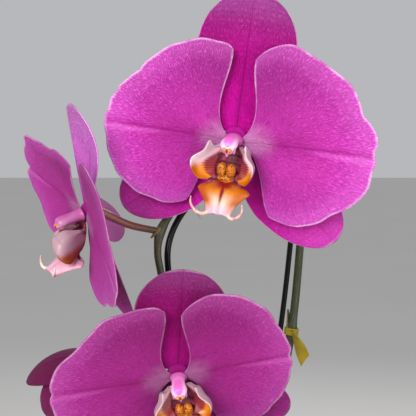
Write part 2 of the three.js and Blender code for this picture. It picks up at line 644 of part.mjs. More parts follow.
/** The tag: a strip looped round the spike, its two ends stuck together as a hanging, twisted flag. */
function tag() {
  const share = nearestOn(spikeCurve, vector(...TAG.centre));
  const centre = spikeCurve.getPointAt(share);
  const loopSides = 10;
  const inner = (spikeRadius(share) + CLEARANCE) / Math.cos(Math.PI / loopSides);
  const outer = inner + TAG.thickness;
  const half = TAG.loopHeight / 2;
  const ring = new THREE.LatheGeometry([
    new THREE.Vector2(inner, -half), new THREE.Vector2(outer, -half), new THREE.Vector2(outer, half),
    new THREE.Vector2(inner, half), new THREE.Vector2(inner, -half),
  ], loopSides);
  ring.rotateX(Math.PI / 2);
  const turn = new THREE.Quaternion().setFromUnitVectors(vector(0, 0, 1), spikeCurve.getTangentAt(share));
  ring.applyQuaternion(turn).translate(...centre.toArray());
  const down = vector(Math.sin(radians(TAG.lean)), -0.12, -Math.cos(radians(TAG.lean))).normalize();
  const flag = blade(5, 2, 2 * TAG.thickness, (u, v) => {
    const side = vector(mix(0.2, 0.57, u), mix(-0.95, 0, u), mix(0.05, 0.83, u)).normalize();
    return centre.clone()
      .add(vector(0.6, -outer - 1.2, 0))
      .addScaledVector(down, -1 + TAG.length * u)
      .addScaledVector(side, (v - 0.5) * mix(3.6, TAG.height, Math.min(1, 1.6 * u)));
  });
  return joined([ring, flag]);
}
addMesh(plant, 'plain_tag', tag(), MATERIALS.tag());

// Crown, roots and leaves

const CROWN_PROFILE = [
  [0, CROWN.radius * 0.8], [0.25, CROWN.radius], [0.6, CROWN.radius], [1, CROWN.tipRadius],
];

function crownSolid(grow = 0) {
  const profile = [
    new THREE.Vector2(0, CROWN.foot - grow),
    ...CROWN_PROFILE.map(([share, radius], index) =>
      new THREE.Vector2(radius + grow, mix(CROWN.foot, CROWN.top, share) + (index === 0 ? -grow : 0))),
    new THREE.Vector2(0, CROWN.top + grow),
  ];
  return solidOf(new THREE.LatheGeometry(profile, 12).rotateX(Math.PI / 2));
}

// Roots spread from the crown over the bark, and three of them climb over the rim: compass angle, then
// distance from the axis and height above the bark along the root, and how far it swings sideways.
const OVER_RIM = [[6, 0], [24, 0.6], [40, 1.5], [50, 9], [58, 15.5], [64, 17.4], [70, 15.5], [76, 5]];
const ROOT_ROUTES = [
  { turn: 48, reach: [...OVER_RIM, [77, -14], [72, -36]], bend: 0.5 },
  { turn: -70, reach: [...OVER_RIM, [80, -18]], bend: -0.45 },
  { turn: 118, reach: [[6, 0], [22, 1], [38, 0.5], [50, 1.5]], bend: 0.7 },
  { turn: -128, reach: [...OVER_RIM, [78, -26], [71, -48]], bend: 0.35 },
  { turn: -36, reach: [[6, 0], [20, 0.6], [33, 0.8], [44, 2]], bend: -0.8 },
  { turn: 205, reach: [[6, 0], [20, 0.8], [35, 1.2], [47, 2]], bend: 0.6 },
];

function rootTube({ turn, reach, bend }) {
  const route = reach.map(([distance, lift], index) => {
    const angle = radians(turn) + bend * (distance / 80) + 0.05 * Math.sin(index * 2.1);
    return [distance * Math.cos(angle), distance * Math.sin(angle), ROOT.lift + lift];
  });
  const curve = curveThrough(route);
  const steps = Math.round(curve.getLength() / 9);
  const radiusAt = (share) => ROOT.radius * (1 - (0.45 * Math.max(0, share - 0.7)) / 0.3);
  return tube(curve, steps, ROOT.sides, radiusAt);
}
const crownAndRoots = ROOT_ROUTES.reduce((whole, root) => whole.add(solidOf(rootTube(root))), crownSolid());
addMesh(plant, 'crown_and_roots', geometryOf(crownAndRoots), MATERIALS.crown());

/** The distance from the plant's axis to the crown's surface at a height. */
function crownRadiusAt(height) {
  const share = (height - CROWN.foot) / (CROWN.top - CROWN.foot);
  const next = CROWN_PROFILE.findIndex(([at]) => at >= share);
  const [[a, low], [b, high]] = [CROWN_PROFILE[next - 1], CROWN_PROFILE[next]];
  return mix(low, high, (share - a) / (b - a));
}

/** A leaf: a strap that rises from the crown, arches over and droops, folded along its middle. */
function leaf({ turn, base, length, width, rise, tip }) {
  const stations = 48;
  const path = [vector(crownRadiusAt(base) - 0.6, 0, base)];
  const elevations = [];
  for (let i = 0; i <= stations; i++) {
    const elevation = radians(mix(rise, tip, (i / stations) ** 0.85));
    elevations.push(elevation);
    const step = length / stations;
    path.push(path[i].clone().add(vector(step * Math.cos(elevation), 0, step * Math.sin(elevation))));
  }
  const round = 0.5;
  const strap = blade(LEAF.rows, LEAF.columns, LEAF.thickness, (u, v) => {
    const w = 2 * v - 1;
    const widest = 0.6;
    let half;
    let along;
    if (u <= widest) {
      half = mix(8, width / 2, Math.sin((Math.PI / 2) * (u / widest)) ** 0.9);
      along = u;
    } else {
      const q = (u - widest) / (1 - widest);
      half = (width / 2) * Math.sqrt(1 - q ** 2 * (1 - round ** 2));
      along = widest + (1 - widest) * q * Math.sqrt(1 - (round * w) ** 2);
    }
    const place = Math.min(along * stations, stations - 1e-6);
    const low = Math.floor(place);
    const spine = path[low].clone().lerp(path[low + 1], place - low);
    const elevation = elevations[low];
    const fold = radians(mix(LEAF.foldAtBase, LEAF.foldAtTip, Math.min(1, u * 1.6)));
    const across = half * w;
    const lift = Math.abs(across) * Math.sin(fold) - 0.006 * across ** 2 * Math.min(1, u * 2);
    return spine
      .add(vector(-lift * Math.sin(elevation), across * Math.cos(fold), lift * Math.cos(elevation)));
  });
  return geometryOf(solidOf(strap.rotateZ(radians(turn))).subtract(crownSolid(CLEARANCE)));
}
LEAVES.forEach((one) => addMesh(plant, one.name, leaf(one), MATERIALS.leaf()));

// Pot, liner and bark

/** A lathed shell from a profile of [radius, height] pairs that closes on the axis. */
function turned(profile, facets) {
  const points = profile.map(([radius, height]) => new THREE.Vector2(radius, height));
  return new THREE.LatheGeometry(points, facets).rotateX(Math.PI / 2);
}

const potOuterAt = (height) => mix(POT.footRadius, POT.topRadius, height / POT.height);
const potInnerAt = (height) => potOuterAt(height) - POT.wall;
const bandFoot = POT.height - 2 * POT.rimRound;
addMesh(plant, 'pot', turned([
  [0, 0],
  [POT.footRadius - 2, 0],
  [potOuterAt(2), 2],
  [potOuterAt(bandFoot), bandFoot],
  [POT.topRadius, POT.height - POT.rimRound],
  [POT.topRadius - 1.2, POT.height - 0.5],
  [POT.topRadius - 2.4, POT.height],
  [POT.topRadius - POT.wall + 0.8, POT.height - 0.6],
  [potInnerAt(POT.height) - 0.2, POT.height - 2.4],
  [potInnerAt(POT.floor + 3), POT.floor + 3],
  [potInnerAt(POT.floor) - 3, POT.floor],
  [0, POT.floor],
], POT.facets), MATERIALS.pot());

const linerFoot = POT.floor + CLEARANCE;
const linerFloor = linerFoot + LINER.wall;
const linerOuterAt = (height) =>
  mix(LINER.footRadius, LINER.topRadius, (height - linerFoot) / (LINER.top - linerFoot));
const linerInnerAt = (height) => linerOuterAt(height) - LINER.wall;
const linerShell = solidOf(turned([
  [0, linerFoot],
  [LINER.footRadius - 1.5, linerFoot],
  [linerOuterAt(linerFoot + 2), linerFoot + 2],
  [linerOuterAt(LINER.top - 3), LINER.top - 3],
  [LINER.topRadius + LINER.lip, LINER.top - 3],
  [LINER.topRadius + LINER.lip, LINER.top - 1.5],
  [linerInnerAt(LINER.top), LINER.top - 1.5],
  [linerInnerAt(linerFloor + 1), linerFloor + 1],
  [0, linerFloor],
], LINER.facets));
const drains = Array.from({ length: DRAIN.count }, (_, i) => {
  const angle = (2 * Math.PI * i) / DRAIN.count;
  return solidOf(new THREE.CylinderGeometry(DRAIN.radius, DRAIN.radius, 6, 8)
    .rotateX(Math.PI / 2).translate(DRAIN.out * Math.cos(angle), DRAIN.out * Math.sin(angle), linerFoot));
});
const drainedLiner = drains.reduce((shell, drain) => shell.subtract(drain), linerShell);
addMesh(plant, 'nursery_liner', geometryOf(drainedLiner), MATERIALS.liner());

/** The bark: a filled body whose top is broken into chips, with plain holes for the crown and the wire. */
function bark() {
  const floor = linerFloor + 1 + CLEARANCE;
  const filling = (top, slack) => solidOf(turned([
    [0, floor], [linerInnerAt(floor) - CLEARANCE - 1, floor], [linerInnerAt(top) - slack, top], [0, top],
  ], BARK.facets));
  const next = seededNumbers(7);
  let whole = filling(BARK.top, CLEARANCE);
  for (let i = 0; i < BARK.chips; i++) {
    const distance = 47 * Math.sqrt((i + 0.5) / BARK.chips);
    const angle = i * 2.39996;
    const [long, wide, thick] = [BARK.chipLong, BARK.chipWide, BARK.chipThick]
      .map((full) => full * (0.7 + 0.5 * next()));
    const chip = new THREE.BoxGeometry(long, wide, thick);
    chip.rotateX(0.5 * (next() - 0.5)).rotateY(0.55 * (next() - 0.5)).rotateZ(Math.PI * next());
    const height = BARK.top + 1 + BARK.rise * 0.6 * next();
    chip.translate(distance * Math.cos(angle), distance * Math.sin(angle), height);
    whole = whole.add(solidOf(chip));
  }
  const inside = filling(BARK.crest, CLEARANCE + 0.6);
  const wireHole = tube(wireCurve, WIRE.steps, WIRE.sides, () => WIRE.radius + CLEARANCE, 0, 0.12);
  const [wireX, wireY, wireFoot] = WIRE_ROUTE[0];
  const wellRadius = WIRE.radius + CLEARANCE;
  const wireWell = new THREE.CylinderGeometry(wellRadius, wellRadius, 2, WIRE.sides)
    .rotateX(Math.PI / 2).translate(wireX, wireY, wireFoot + 1 - CLEARANCE);
  return geometryOf(whole.intersect(inside)
    .subtract(crownSolid(CLEARANCE)).subtract(solidOf(wireHole)).subtract(solidOf(wireWell)));
}
addMesh(plant, 'bark_medium', bark(), MATERIALS.bark());

export default plant;
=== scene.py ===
"""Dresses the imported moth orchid: blooms, flower spike, buds, leaves, roots, bark, liner and pot.

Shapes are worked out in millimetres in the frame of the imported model, with +Z up and the origin at the
centre of the pot's foot, and the large bloom facing -Y. Meshes are written in metres.
"""
import logging
import math
from collections.abc import Callable, Sequence
from dataclasses import dataclass, field
from enum import Enum
import bmesh
import bpy
import numpy as np
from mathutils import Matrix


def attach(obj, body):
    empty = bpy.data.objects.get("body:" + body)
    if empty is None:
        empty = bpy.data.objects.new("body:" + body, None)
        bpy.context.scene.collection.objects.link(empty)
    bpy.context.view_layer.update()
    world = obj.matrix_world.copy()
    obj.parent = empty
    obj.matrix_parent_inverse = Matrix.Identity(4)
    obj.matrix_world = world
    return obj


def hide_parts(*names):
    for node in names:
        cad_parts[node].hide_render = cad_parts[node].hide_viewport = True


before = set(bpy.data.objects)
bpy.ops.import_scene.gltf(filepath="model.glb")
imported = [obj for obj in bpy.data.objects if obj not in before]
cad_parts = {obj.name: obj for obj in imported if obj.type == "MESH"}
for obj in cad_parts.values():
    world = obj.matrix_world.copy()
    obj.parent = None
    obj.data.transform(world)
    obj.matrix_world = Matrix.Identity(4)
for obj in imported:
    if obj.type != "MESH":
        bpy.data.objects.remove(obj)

Array = np.ndarray
Socket = bpy.types.NodeSocket
Material = bpy.types.Material
Colour = tuple[int, int, int]
Numbers = Sequence[float]
Profile = Sequence[tuple[float, float]]
LOG = logging.getLogger("orchid")

# One millimetre, and how near two points are when they are welded, in metres

MM, WELD = 0.001, 1e-7

# The least length that a vector is divided by, and the angle between two chips of bark in a spiral

TINY, GOLDEN_TURN = 1e-9, 2.39996

# Driving sizes in millimetres and degrees, which repeat the source's where it has them

CLEARANCE = 0.35
POT_HEIGHT, POT_FOOT, POT_TOP, POT_WALL, POT_FLOOR, POT_RIM = 118.0, 48.0, 66.0, 4.5, 6.0, 2.2
LINER_TOP, LINER_FOOT, LINER_WIDE, LINER_WALL, LINER_LIP = 112.0, 40.5, 57.0, 1.3, 2.4
BARK_TOP, BARK_CREST = 91.0, 101.3
CROWN_FOOT, CROWN_TOP, CROWN_RADIUS, CROWN_TIP = 80.0, 141.0, 8.5, 5.5
ROOT_RADIUS, ROOT_LIFT = 2.7, 104.5
WIRE_RADIUS = 1.3
PETAL_REACH, PETAL_CLAW, PETAL_LAYER = 50.0, 0.065, 1.3
SEPAL_LAYER = -1.3
TEPAL_THICKNESS = 0.9
HUB_RADIUS, HUB_BACK, HUB_FRONT = 5.0, -3.4, 2.2
COLUMN_LENGTH, COLUMN_HALF_WIDE, COLUMN_HALF_THICK, COLUMN_LIFT = 11.5, 2.8, 2.2, 0.5
LIP_THICKNESS = 0.8
MIDDLE_LOBE_LENGTH = 13.5
MIDDLE_LOBE_HALVES = (7.0, 9.0, 10.3, 8.4, 6.0, 5.0, 4.6)
MIDDLE_LOBE_FOOT = -14.6
CALLUS = (1.75, -9.6, 10.2)
LOBE_ROOT = ((2.5, -1.8, 3.2), (4.4, -5.5, 5), (4.8, -9.5, 7.6), (4, -12.8, 10.2))
LOBE_RIM = (
    (4, -1.2, 5), (5.8, -1.6, 8), (7.5, 0.8, 10.4), (8.9, -2.8, 12.4), (12.2, -6, 14.2),
    (12.4, -9.8, 14.4), (10.2, -13.6, 12.8), (6, -14, 11.4),
)
LOBE_BULGE = 2.6

SPIKE_ROUTE = (
    (6.5, 10.5, 118), (8, 14.5, 150), (4, 16, 220), (-3, 17, 300), (-5, 17, 350), (-3, 16.5, 395),
    (0.3, 16, 421), (6, 15, 455), (9, 13, 488), (10, 7, 515), (7, -8, 540), (-1, -28, 556), (-10, -44, 560),
    (-18, -56, 556), (-28, -65, 545), (-40, -72, 530), (-49.4, -77, 518), (-54, -80, 510), (-55, -81, 502),
    (-53.8, -81, 494), (-51, -78.5, 478), (-49, -75, 460), (-48, -72, 440), (-45, -70.5, 415),
    (-41, -69, 390), (-37, -66, 368), (-34, -63, 350),
)
WIRE_ROUTE = (
    (-3, 25, 48), (-3, 25, 118), (-4, 23, 160), (-5.5, 20, 220), (-9, 18, 300), (-10, 17.5, 350),
    (-8, 17, 395), (-4.6, 16.5, 421), (0.5, 15.2, 455), (4, 12, 488), (5.2, 5.4, 510), (3, -7.5, 532.5),
    (-3.2, -26, 549), (-11, -41.5, 554.5), (-18, -52, 551), (-26, -60.2, 541.5), (-37, -67, 526.8),
    (-45.4, -73.6, 517), (-49.2, -76.8, 510), (-51, -78.6, 503), (-50.9, -77.9, 494.6), (-48.9, -75, 480),
    (-47.4, -72.5, 470),
)
STEM_NODES, LAST_STALK = (0.07, 0.2, 0.34, 0.47), 0.995
TAG_CENTRE, TAG_HEIGHT, TAG_LOOP, TAG_LENGTH, TAG_LEAN = (6, 15, 453), 6.6, 3.4, 15.5, 23.0

OVER_RIM = ((6, 0), (24, 0.6), (40, 1.5), (50, 9), (58, 15.5), (64, 17.4), (70, 15.5), (76, 5))
ROOT_ROUTES = (
    (48, OVER_RIM + ((77, -14), (72, -36)), 0.5),
    (-70, OVER_RIM + ((80, -18),), -0.45),
    (118, ((6, 0), (22, 1), (38, 0.5), (50, 1.5)), 0.7),
    (-128, OVER_RIM + ((78, -26), (71, -48)), 0.35),
    (-36, ((6, 0), (20, 0.6), (33, 0.8), (44, 2)), -0.8),
    (205, ((6, 0), (20, 0.8), (35, 1.2), (47, 2)), 0.6),
)

# Where the photograph was taken from

CAMERA_PLACE = (-0.0348, -0.548, 0.5525)
CAMERA_PITCH = 4.0
SENSOR = 36.0
FOCAL_PIXELS, FRAME_PIXELS = 1170.0, 416.0


class Side(Enum):
    """The two sides of a bloom, as seen from the front."""

    LEFT = -1
    RIGHT = 1

    @property
    def place(self) -> int:
        """The side's place in a pair of values."""
        return 0 if self is Side.LEFT else 1


# Arrays of points


def points_of(x: Array, y: Array, z: Array) -> Array:
    """Joins three arrays of coordinates into one array of points."""
    return np.stack(np.broadcast_arrays(x, y, z), axis=-1).astype(float)


def unit(vectors: Array) -> Array:
    """Vectors of length one that point the same way."""
    return vectors / np.maximum(np.linalg.norm(vectors, axis=-1, keepdims=True), TINY)


def mix(low: float | Array, high: float | Array, share: float | Array) -> float | Array:
    """The value that lies the given share of the way from low to high."""
    return low + (high - low) * share


def hill(distance: Array, width: float, power: int = 2) -> Array:
    """A smooth hill, 1 at distance 0: e to minus a power of the distance over the width."""
    return np.exp(-((distance / width) ** power))


def circle(count: int) -> Array:
    """Angles that lie evenly round a circle, in radians."""
    return np.linspace(0, 2 * np.pi, count, endpoint=False)


def polar(radius: float | Array, angle: Array, height: float | Array) -> Array:
    """Points at a radius, an angle and a height."""
    return points_of(radius * np.cos(angle), radius * np.sin(angle), height)


def cos_sin(degrees: float) -> tuple[float, float]:
    """The cosine and the sine of an angle in degrees."""
    return math.cos(math.radians(degrees)), math.sin(math.radians(degrees))


def grid(rows: int, columns: int) -> tuple[Array, Array]:
    """Two arrays of shares from 0 to 1: the first grows down the rows, the second along the columns."""
    return np.meshgrid(np.linspace(0, 1, rows + 1), np.linspace(0, 1, columns + 1), indexing="ij")


def ripple(place: Array, seed: float) -> Array:
    """Smooth uneven values from about -1 to 1: a sum of three crossed sine waves over points in space.

    Args:
        place: The points.
        seed: Shifts the waves, so that each use is uneven in its own way.

    Returns:
        A value for each point.
    """
    x, y, z = place[..., 0], place[..., 1], place[..., 2]
    first = np.sin(x + 1.7 * y + seed)
    second = np.sin(1.3 * y - 1.1 * z + 2.1 * seed)
    third = np.sin(0.9 * z + 1.9 * x - seed)
    return (first + second + third) / 3


def turns_about(angles: Array, axis: int) -> Array:
    """Works out turns about one axis of space.

    Args:
        angles: How far each turns, in radians.
        axis: 0 for X, 1 for Y and 2 for Z.

    Returns:
        A matrix for each angle.
    """
    ahead, after = (axis + 1) % 3, (axis + 2) % 3
    turns = np.tile(np.eye(3), (len(angles), 1, 1))
    turns[:, ahead, ahead] = turns[:, after, after] = np.cos(angles)
    turns[:, after, ahead], turns[:, ahead, after] = np.sin(angles), -np.sin(angles)
    return turns


# Closed meshes


@dataclass
class Solid:
    """A closed mesh: points, four-sided faces, a place on its surface and named marks for each point."""

    points: Array
    quads: Array
    surface: Array
    marks: dict[str, Array] = field(default_factory=dict)

    def outward(self) -> "Solid":
        """Turns the faces out, as the sign of the volume that they hold tells.

        Returns:
            The same solid with its faces turned out.
        """
        a, b, c, d = (self.points[self.quads[:, k]] for k in range(4))
        volume = np.einsum("ij,ij->", a, np.cross(b, c)) + np.einsum("ij,ij->", a, np.cross(c, d))
        quads = self.quads[:, ::-1] if volume < 0 else self.quads
        return Solid(self.points, quads, self.surface, self.marks)

    def marked(self, **marks: float) -> "Solid":
        """The same solid with each named mark set to one value all over it."""
        even = {name: np.full(len(self.points), float(value)) for name, value in marks.items()}
        return Solid(self.points, self.quads, self.surface, {**self.marks, **even})


def together(solids: Sequence[Solid]) -> Solid:
    """Joins several solids into one mesh. A mark that a solid lacks is 0 on it.

    Args:
        solids: The solids, in order.

    Returns:
        The one solid, with its faces turned out.
    """
    turned = [solid.outward() for solid in solids]
    starts = np.cumsum([0] + [len(solid.points) for solid in turned[:-1]])
    names = {name for solid in turned for name in solid.marks}
    return Solid(
        np.concatenate([solid.points for solid in turned]),
        np.concatenate([solid.quads + start for solid, start in zip(turned, starts)]),
        np.concatenate([solid.surface for solid in turned]),
        {
            name: np.concatenate([s.marks.get(name, np.zeros(len(s.points))) for s in turned])
            for name in names
        },
    )


def shell(front: Array, back: Array, keep: Array | None = None, around: bool = False) -> Solid:
    """A closed shell between two grids of points, with a wall along every open edge.

    A cell of the grid that isn't kept becomes a window. An edge of a kept cell gets a wall where the
    cell on its other side isn't kept.

    Args:
        front: Grid of points on one face.
        back: Grid of points on the other face.
        keep: True for each cell that stays, or None for all of them.
        around: Whether the last column joins the first.

    Returns:
        The shell. Its mark front is 1 on the first face and 0 on the other.
    """
    rows, columns = front.shape[:2]
    index = np.arange(rows * columns).reshape(rows, columns)
    if around:
        index = np.concatenate([index, index[:, :1]], axis=1)
    kept = np.ones((rows - 1, index.shape[1] - 1), bool) if keep is None else keep
    corners = [index[:-1, :-1], index[1:, :-1], index[1:, 1:], index[:-1, 1:]]
    padded = np.pad(kept, 1)
    if around:
        padded[1:-1, 0], padded[1:-1, -1] = kept[:, -1], kept[:, 0]
    beyond = [padded[1:-1, :-2], padded[2:, 1:-1], padded[1:-1, 2:], padded[:-2, 1:-1]]
    under = rows * columns
    a, b, c, d = (corner[kept] for corner in corners)
    faces = [np.stack([a, b, c, d], 1), np.stack([a, d, c, b], 1) + under]
    for k in range(4):
        edge = kept & ~beyond[k]
        start, end = corners[k][edge], corners[(k + 1) % 4][edge]
        faces.append(np.stack([end, start, start + under, end + under], 1))
    u, v = grid(rows - 1, columns - 1)
    place = np.stack([u, v], -1).reshape(-1, 2)
    facing_front = np.repeat([1.0, 0.0], under)
    return Solid(
        np.concatenate([front.reshape(-1, 3), back.reshape(-1, 3)]),
        np.concatenate(faces),
        np.concatenate([place, place]),
        {"front": facing_front},
    )


def blade(middle: Array, thickness: float | Array, front: int = 1) -> Solid:
    """A closed blade: half the thickness stands off each side of a grid of points, along its normals.

    Args:
        middle: Grid of points midway between both faces.
        thickness: Its thickness, at each point or all over.
        front: 1 where the front looks along rows cross columns, -1 where it looks the other way.

    Returns:
        The blade. Its mark front is 1 on its front.
    """
    normals = front * unit(np.cross(np.gradient(middle, axis=0), np.gradient(middle, axis=1)))
    half = np.broadcast_to(np.asarray(thickness, float) / 2, middle.shape[:2])[..., None]
    return shell(middle + normals * half, middle - normals * half)


def skin(rings: Array, first: Array | None = None, last: Array | None = None) -> Solid:
    """A closed skin through rings of points, which draws together to a point at both ends.

    Args:
        rings: Array of rings, points on a ring and coordinates.
        first: Point that closes the first ring, or None for its middle.
        last: Point that closes the last ring, or None for its middle.

    Returns:
        The solid, with its faces turned out.
    """
    sides = rings.shape[1]
    poles = [
        rings[0].mean(0) if first is None else np.asarray(first, float),
        rings[-1].mean(0) if last is None else np.asarray(last, float),
    ]
    whole = np.concatenate([np.tile(poles[0], (1, sides, 1)), rings, np.tile(poles[1], (1, sides, 1))])
    rows = len(whole)
    index = np.arange(rows * sides).reshape(rows, sides)
    after = np.roll(index, -1, axis=1)
    quads = np.stack([index[:-1], index[1:], after[1:], after[:-1]], -1).reshape(-1, 4)
    u, v = grid(rows - 1, sides - 1)
    return Solid(whole.reshape(-1, 3), quads, np.stack([u, v], -1).reshape(-1, 2)).outward()


def lathe(profile: Profile, sides: int) -> Solid:
    """Carries a profile round the upright axis.

    Args:
        profile: Radius and height of each of its points. It starts and ends on the axis.
        sides: How many points there are in a ring.

    Returns:
        The solid.
    """
    outline = np.array(profile, float)
    rings = polar(outline[1:-1, :1], circle(sides), outline[1:-1, 1:])
    return skin(rings, (0, 0, outline[0, 1]), (0, 0, outline[-1, 1]))


def rounded(profile: Profile, passes: int) -> list[tuple[float, float]]:
    """Rounds a profile's corners by cutting each at a quarter of its two sides.

    Args:
        profile: Radius and height of each of its points.
        passes: How many times all corners are cut.

    Returns:
        The rounded profile.
    """
    line = np.array(profile, float)
    for _ in range(passes):
        near, far = mix(line[:-1], line[1:], 0.25), mix(line[:-1], line[1:], 0.75)
        cut = np.stack([near, far], 1).reshape(-1, 2)
        line = np.concatenate([line[:1], cut[1:-1], line[-1:]])
    return [tuple(point) for point in line]


class Path:
    """A smooth line through points, measured by the share of its length."""

    SPAN_STEPS = 40
    NEAR = 0.004

    def __init__(self, route: Sequence[Numbers]) -> None:
        """Works out the line: each span is a cubic whose end slopes come from the points on both sides,
        spaced by the square root of their distances.

        Args:
            route: The points that the line passes through.
        """
        p = np.array(route, float)
        p = np.concatenate([2 * p[:1] - p[1:2], p, 2 * p[-1:] - p[-2:-1]])
        step = np.sqrt(np.linalg.norm(np.diff(p, axis=0), axis=1))[:, None]
        before, here, ahead = step[:-2], step[1:-1], step[2:]
        x0, x1, x2, x3 = p[:-3], p[1:-2], p[2:-1], p[3:]
        leave = ((x1 - x0) / before - (x2 - x0) / (before + here) + (x2 - x1) / here) * here
        arrive = ((x2 - x1) / here - (x3 - x1) / (here + ahead) + (x3 - x2) / ahead) * here
        t = np.linspace(0, 1, self.SPAN_STEPS, endpoint=False)[None, :, None]
        a, b = x1[:, None], x2[:, None]
        m, n = leave[:, None], arrive[:, None]
        line = a + m * t + (3 * b - 3 * a - 2 * m - n) * t**2 + (2 * a - 2 * b + m + n) * t**3
        self.line = np.concatenate([line.reshape(-1, 3), p[-2:-1]])
        reach = np.concatenate([[0], np.cumsum(np.linalg.norm(np.diff(self.line, axis=0), axis=1))])
        self.length = float(reach[-1])
        self.shares = reach / reach[-1]

    def at(self, shares: float | Array) -> Array:
        """The points at the given shares of the line's length."""
        flat = np.asarray(shares, float)
        return np.stack([np.interp(flat, self.shares, self.line[:, k]) for k in range(3)], axis=-1)

    def along(self, shares: float | Array) -> Array:
        """The unit directions of the line at the given shares."""
        flat = np.asarray(shares, float)
        return unit(self.at(np.minimum(flat + self.NEAR, 1)) - self.at(np.maximum(flat - self.NEAR, 0)))

    def nearest(self, point: Numbers) -> float:
        """The share at which the line passes nearest to a point."""
        return float(self.shares[np.argmin(np.linalg.norm(self.line - np.array(point, float), axis=1))])


def tube(
    path: Path,
    radius: Callable[[Array], Array],
    steps: int,
    sides: int,
    reference: Numbers = (1, 0, 0),
) -> Solid:
    """A round tube along a path.

    Args:
        path: The middle line.
        radius: Gives the radius for an array of shares by the ring's points.
        steps: How many rings there are, less one.
        sides: How many points there are in a ring.
        reference: A direction that the path never follows, from which the ring's angles are measured.

    Returns:
        The solid, closed at both ends.
    """
    share = np.linspace(0, 1, steps + 1)
    angle = circle(sides)
    forward = path.along(share)
    across = unit(np.cross(forward, np.broadcast_to(np.array(reference, float), forward.shape)))
    up = np.cross(across, forward)
    size = np.broadcast_to(radius(share[:, None] + 0 * angle), (len(share), sides))[..., None]
    around = across[:, None] * np.cos(angle)[None, :, None] + up[:, None] * np.sin(angle)[None, :, None]
    ends = path.at(share)
    return skin(ends[:, None] + around * size, ends[0], ends[-1])


def egg(centre: Numbers, halves: Numbers, rows: int = 20, sides: int = 28) -> Solid:
    """An ellipsoid with its poles on its third direction.

    Args:
        centre: Its middle.
        halves: Its three half-sizes.
        rows: How many rows of faces there are from pole to pole.
        sides: How many points there are in a ring.

    Returns:
        The solid.
    """
    down = np.linspace(0, np.pi, rows + 1)[1:-1, None]
    angle = circle(sides)
    x = halves[0] * np.sin(down) * np.cos(angle)
    y = halves[1] * np.sin(down) * np.sin(angle)
    middle = np.array(centre, float)
    rings = points_of(x, y, halves[2] * np.cos(down)) + middle
    return skin(rings, middle + (0, 0, halves[2]), middle - (0, 0, halves[2]))


# Finishes


def linear(colour: Colour) -> tuple[float, ...]:
    """Turns a screen colour into linear light, by a power curve with a straight foot.

    Args:
        colour: Its red, green and blue, from 0 to 255.

    Returns:
        The same in linear light, from 0 to 1.
    """
    values = np.array(colour) / 255
    shares = np.where(values <= 0.04045, values / 12.92, ((values + 0.055) / 1.055) ** 2.4)
    return tuple(float(share) for share in shares)


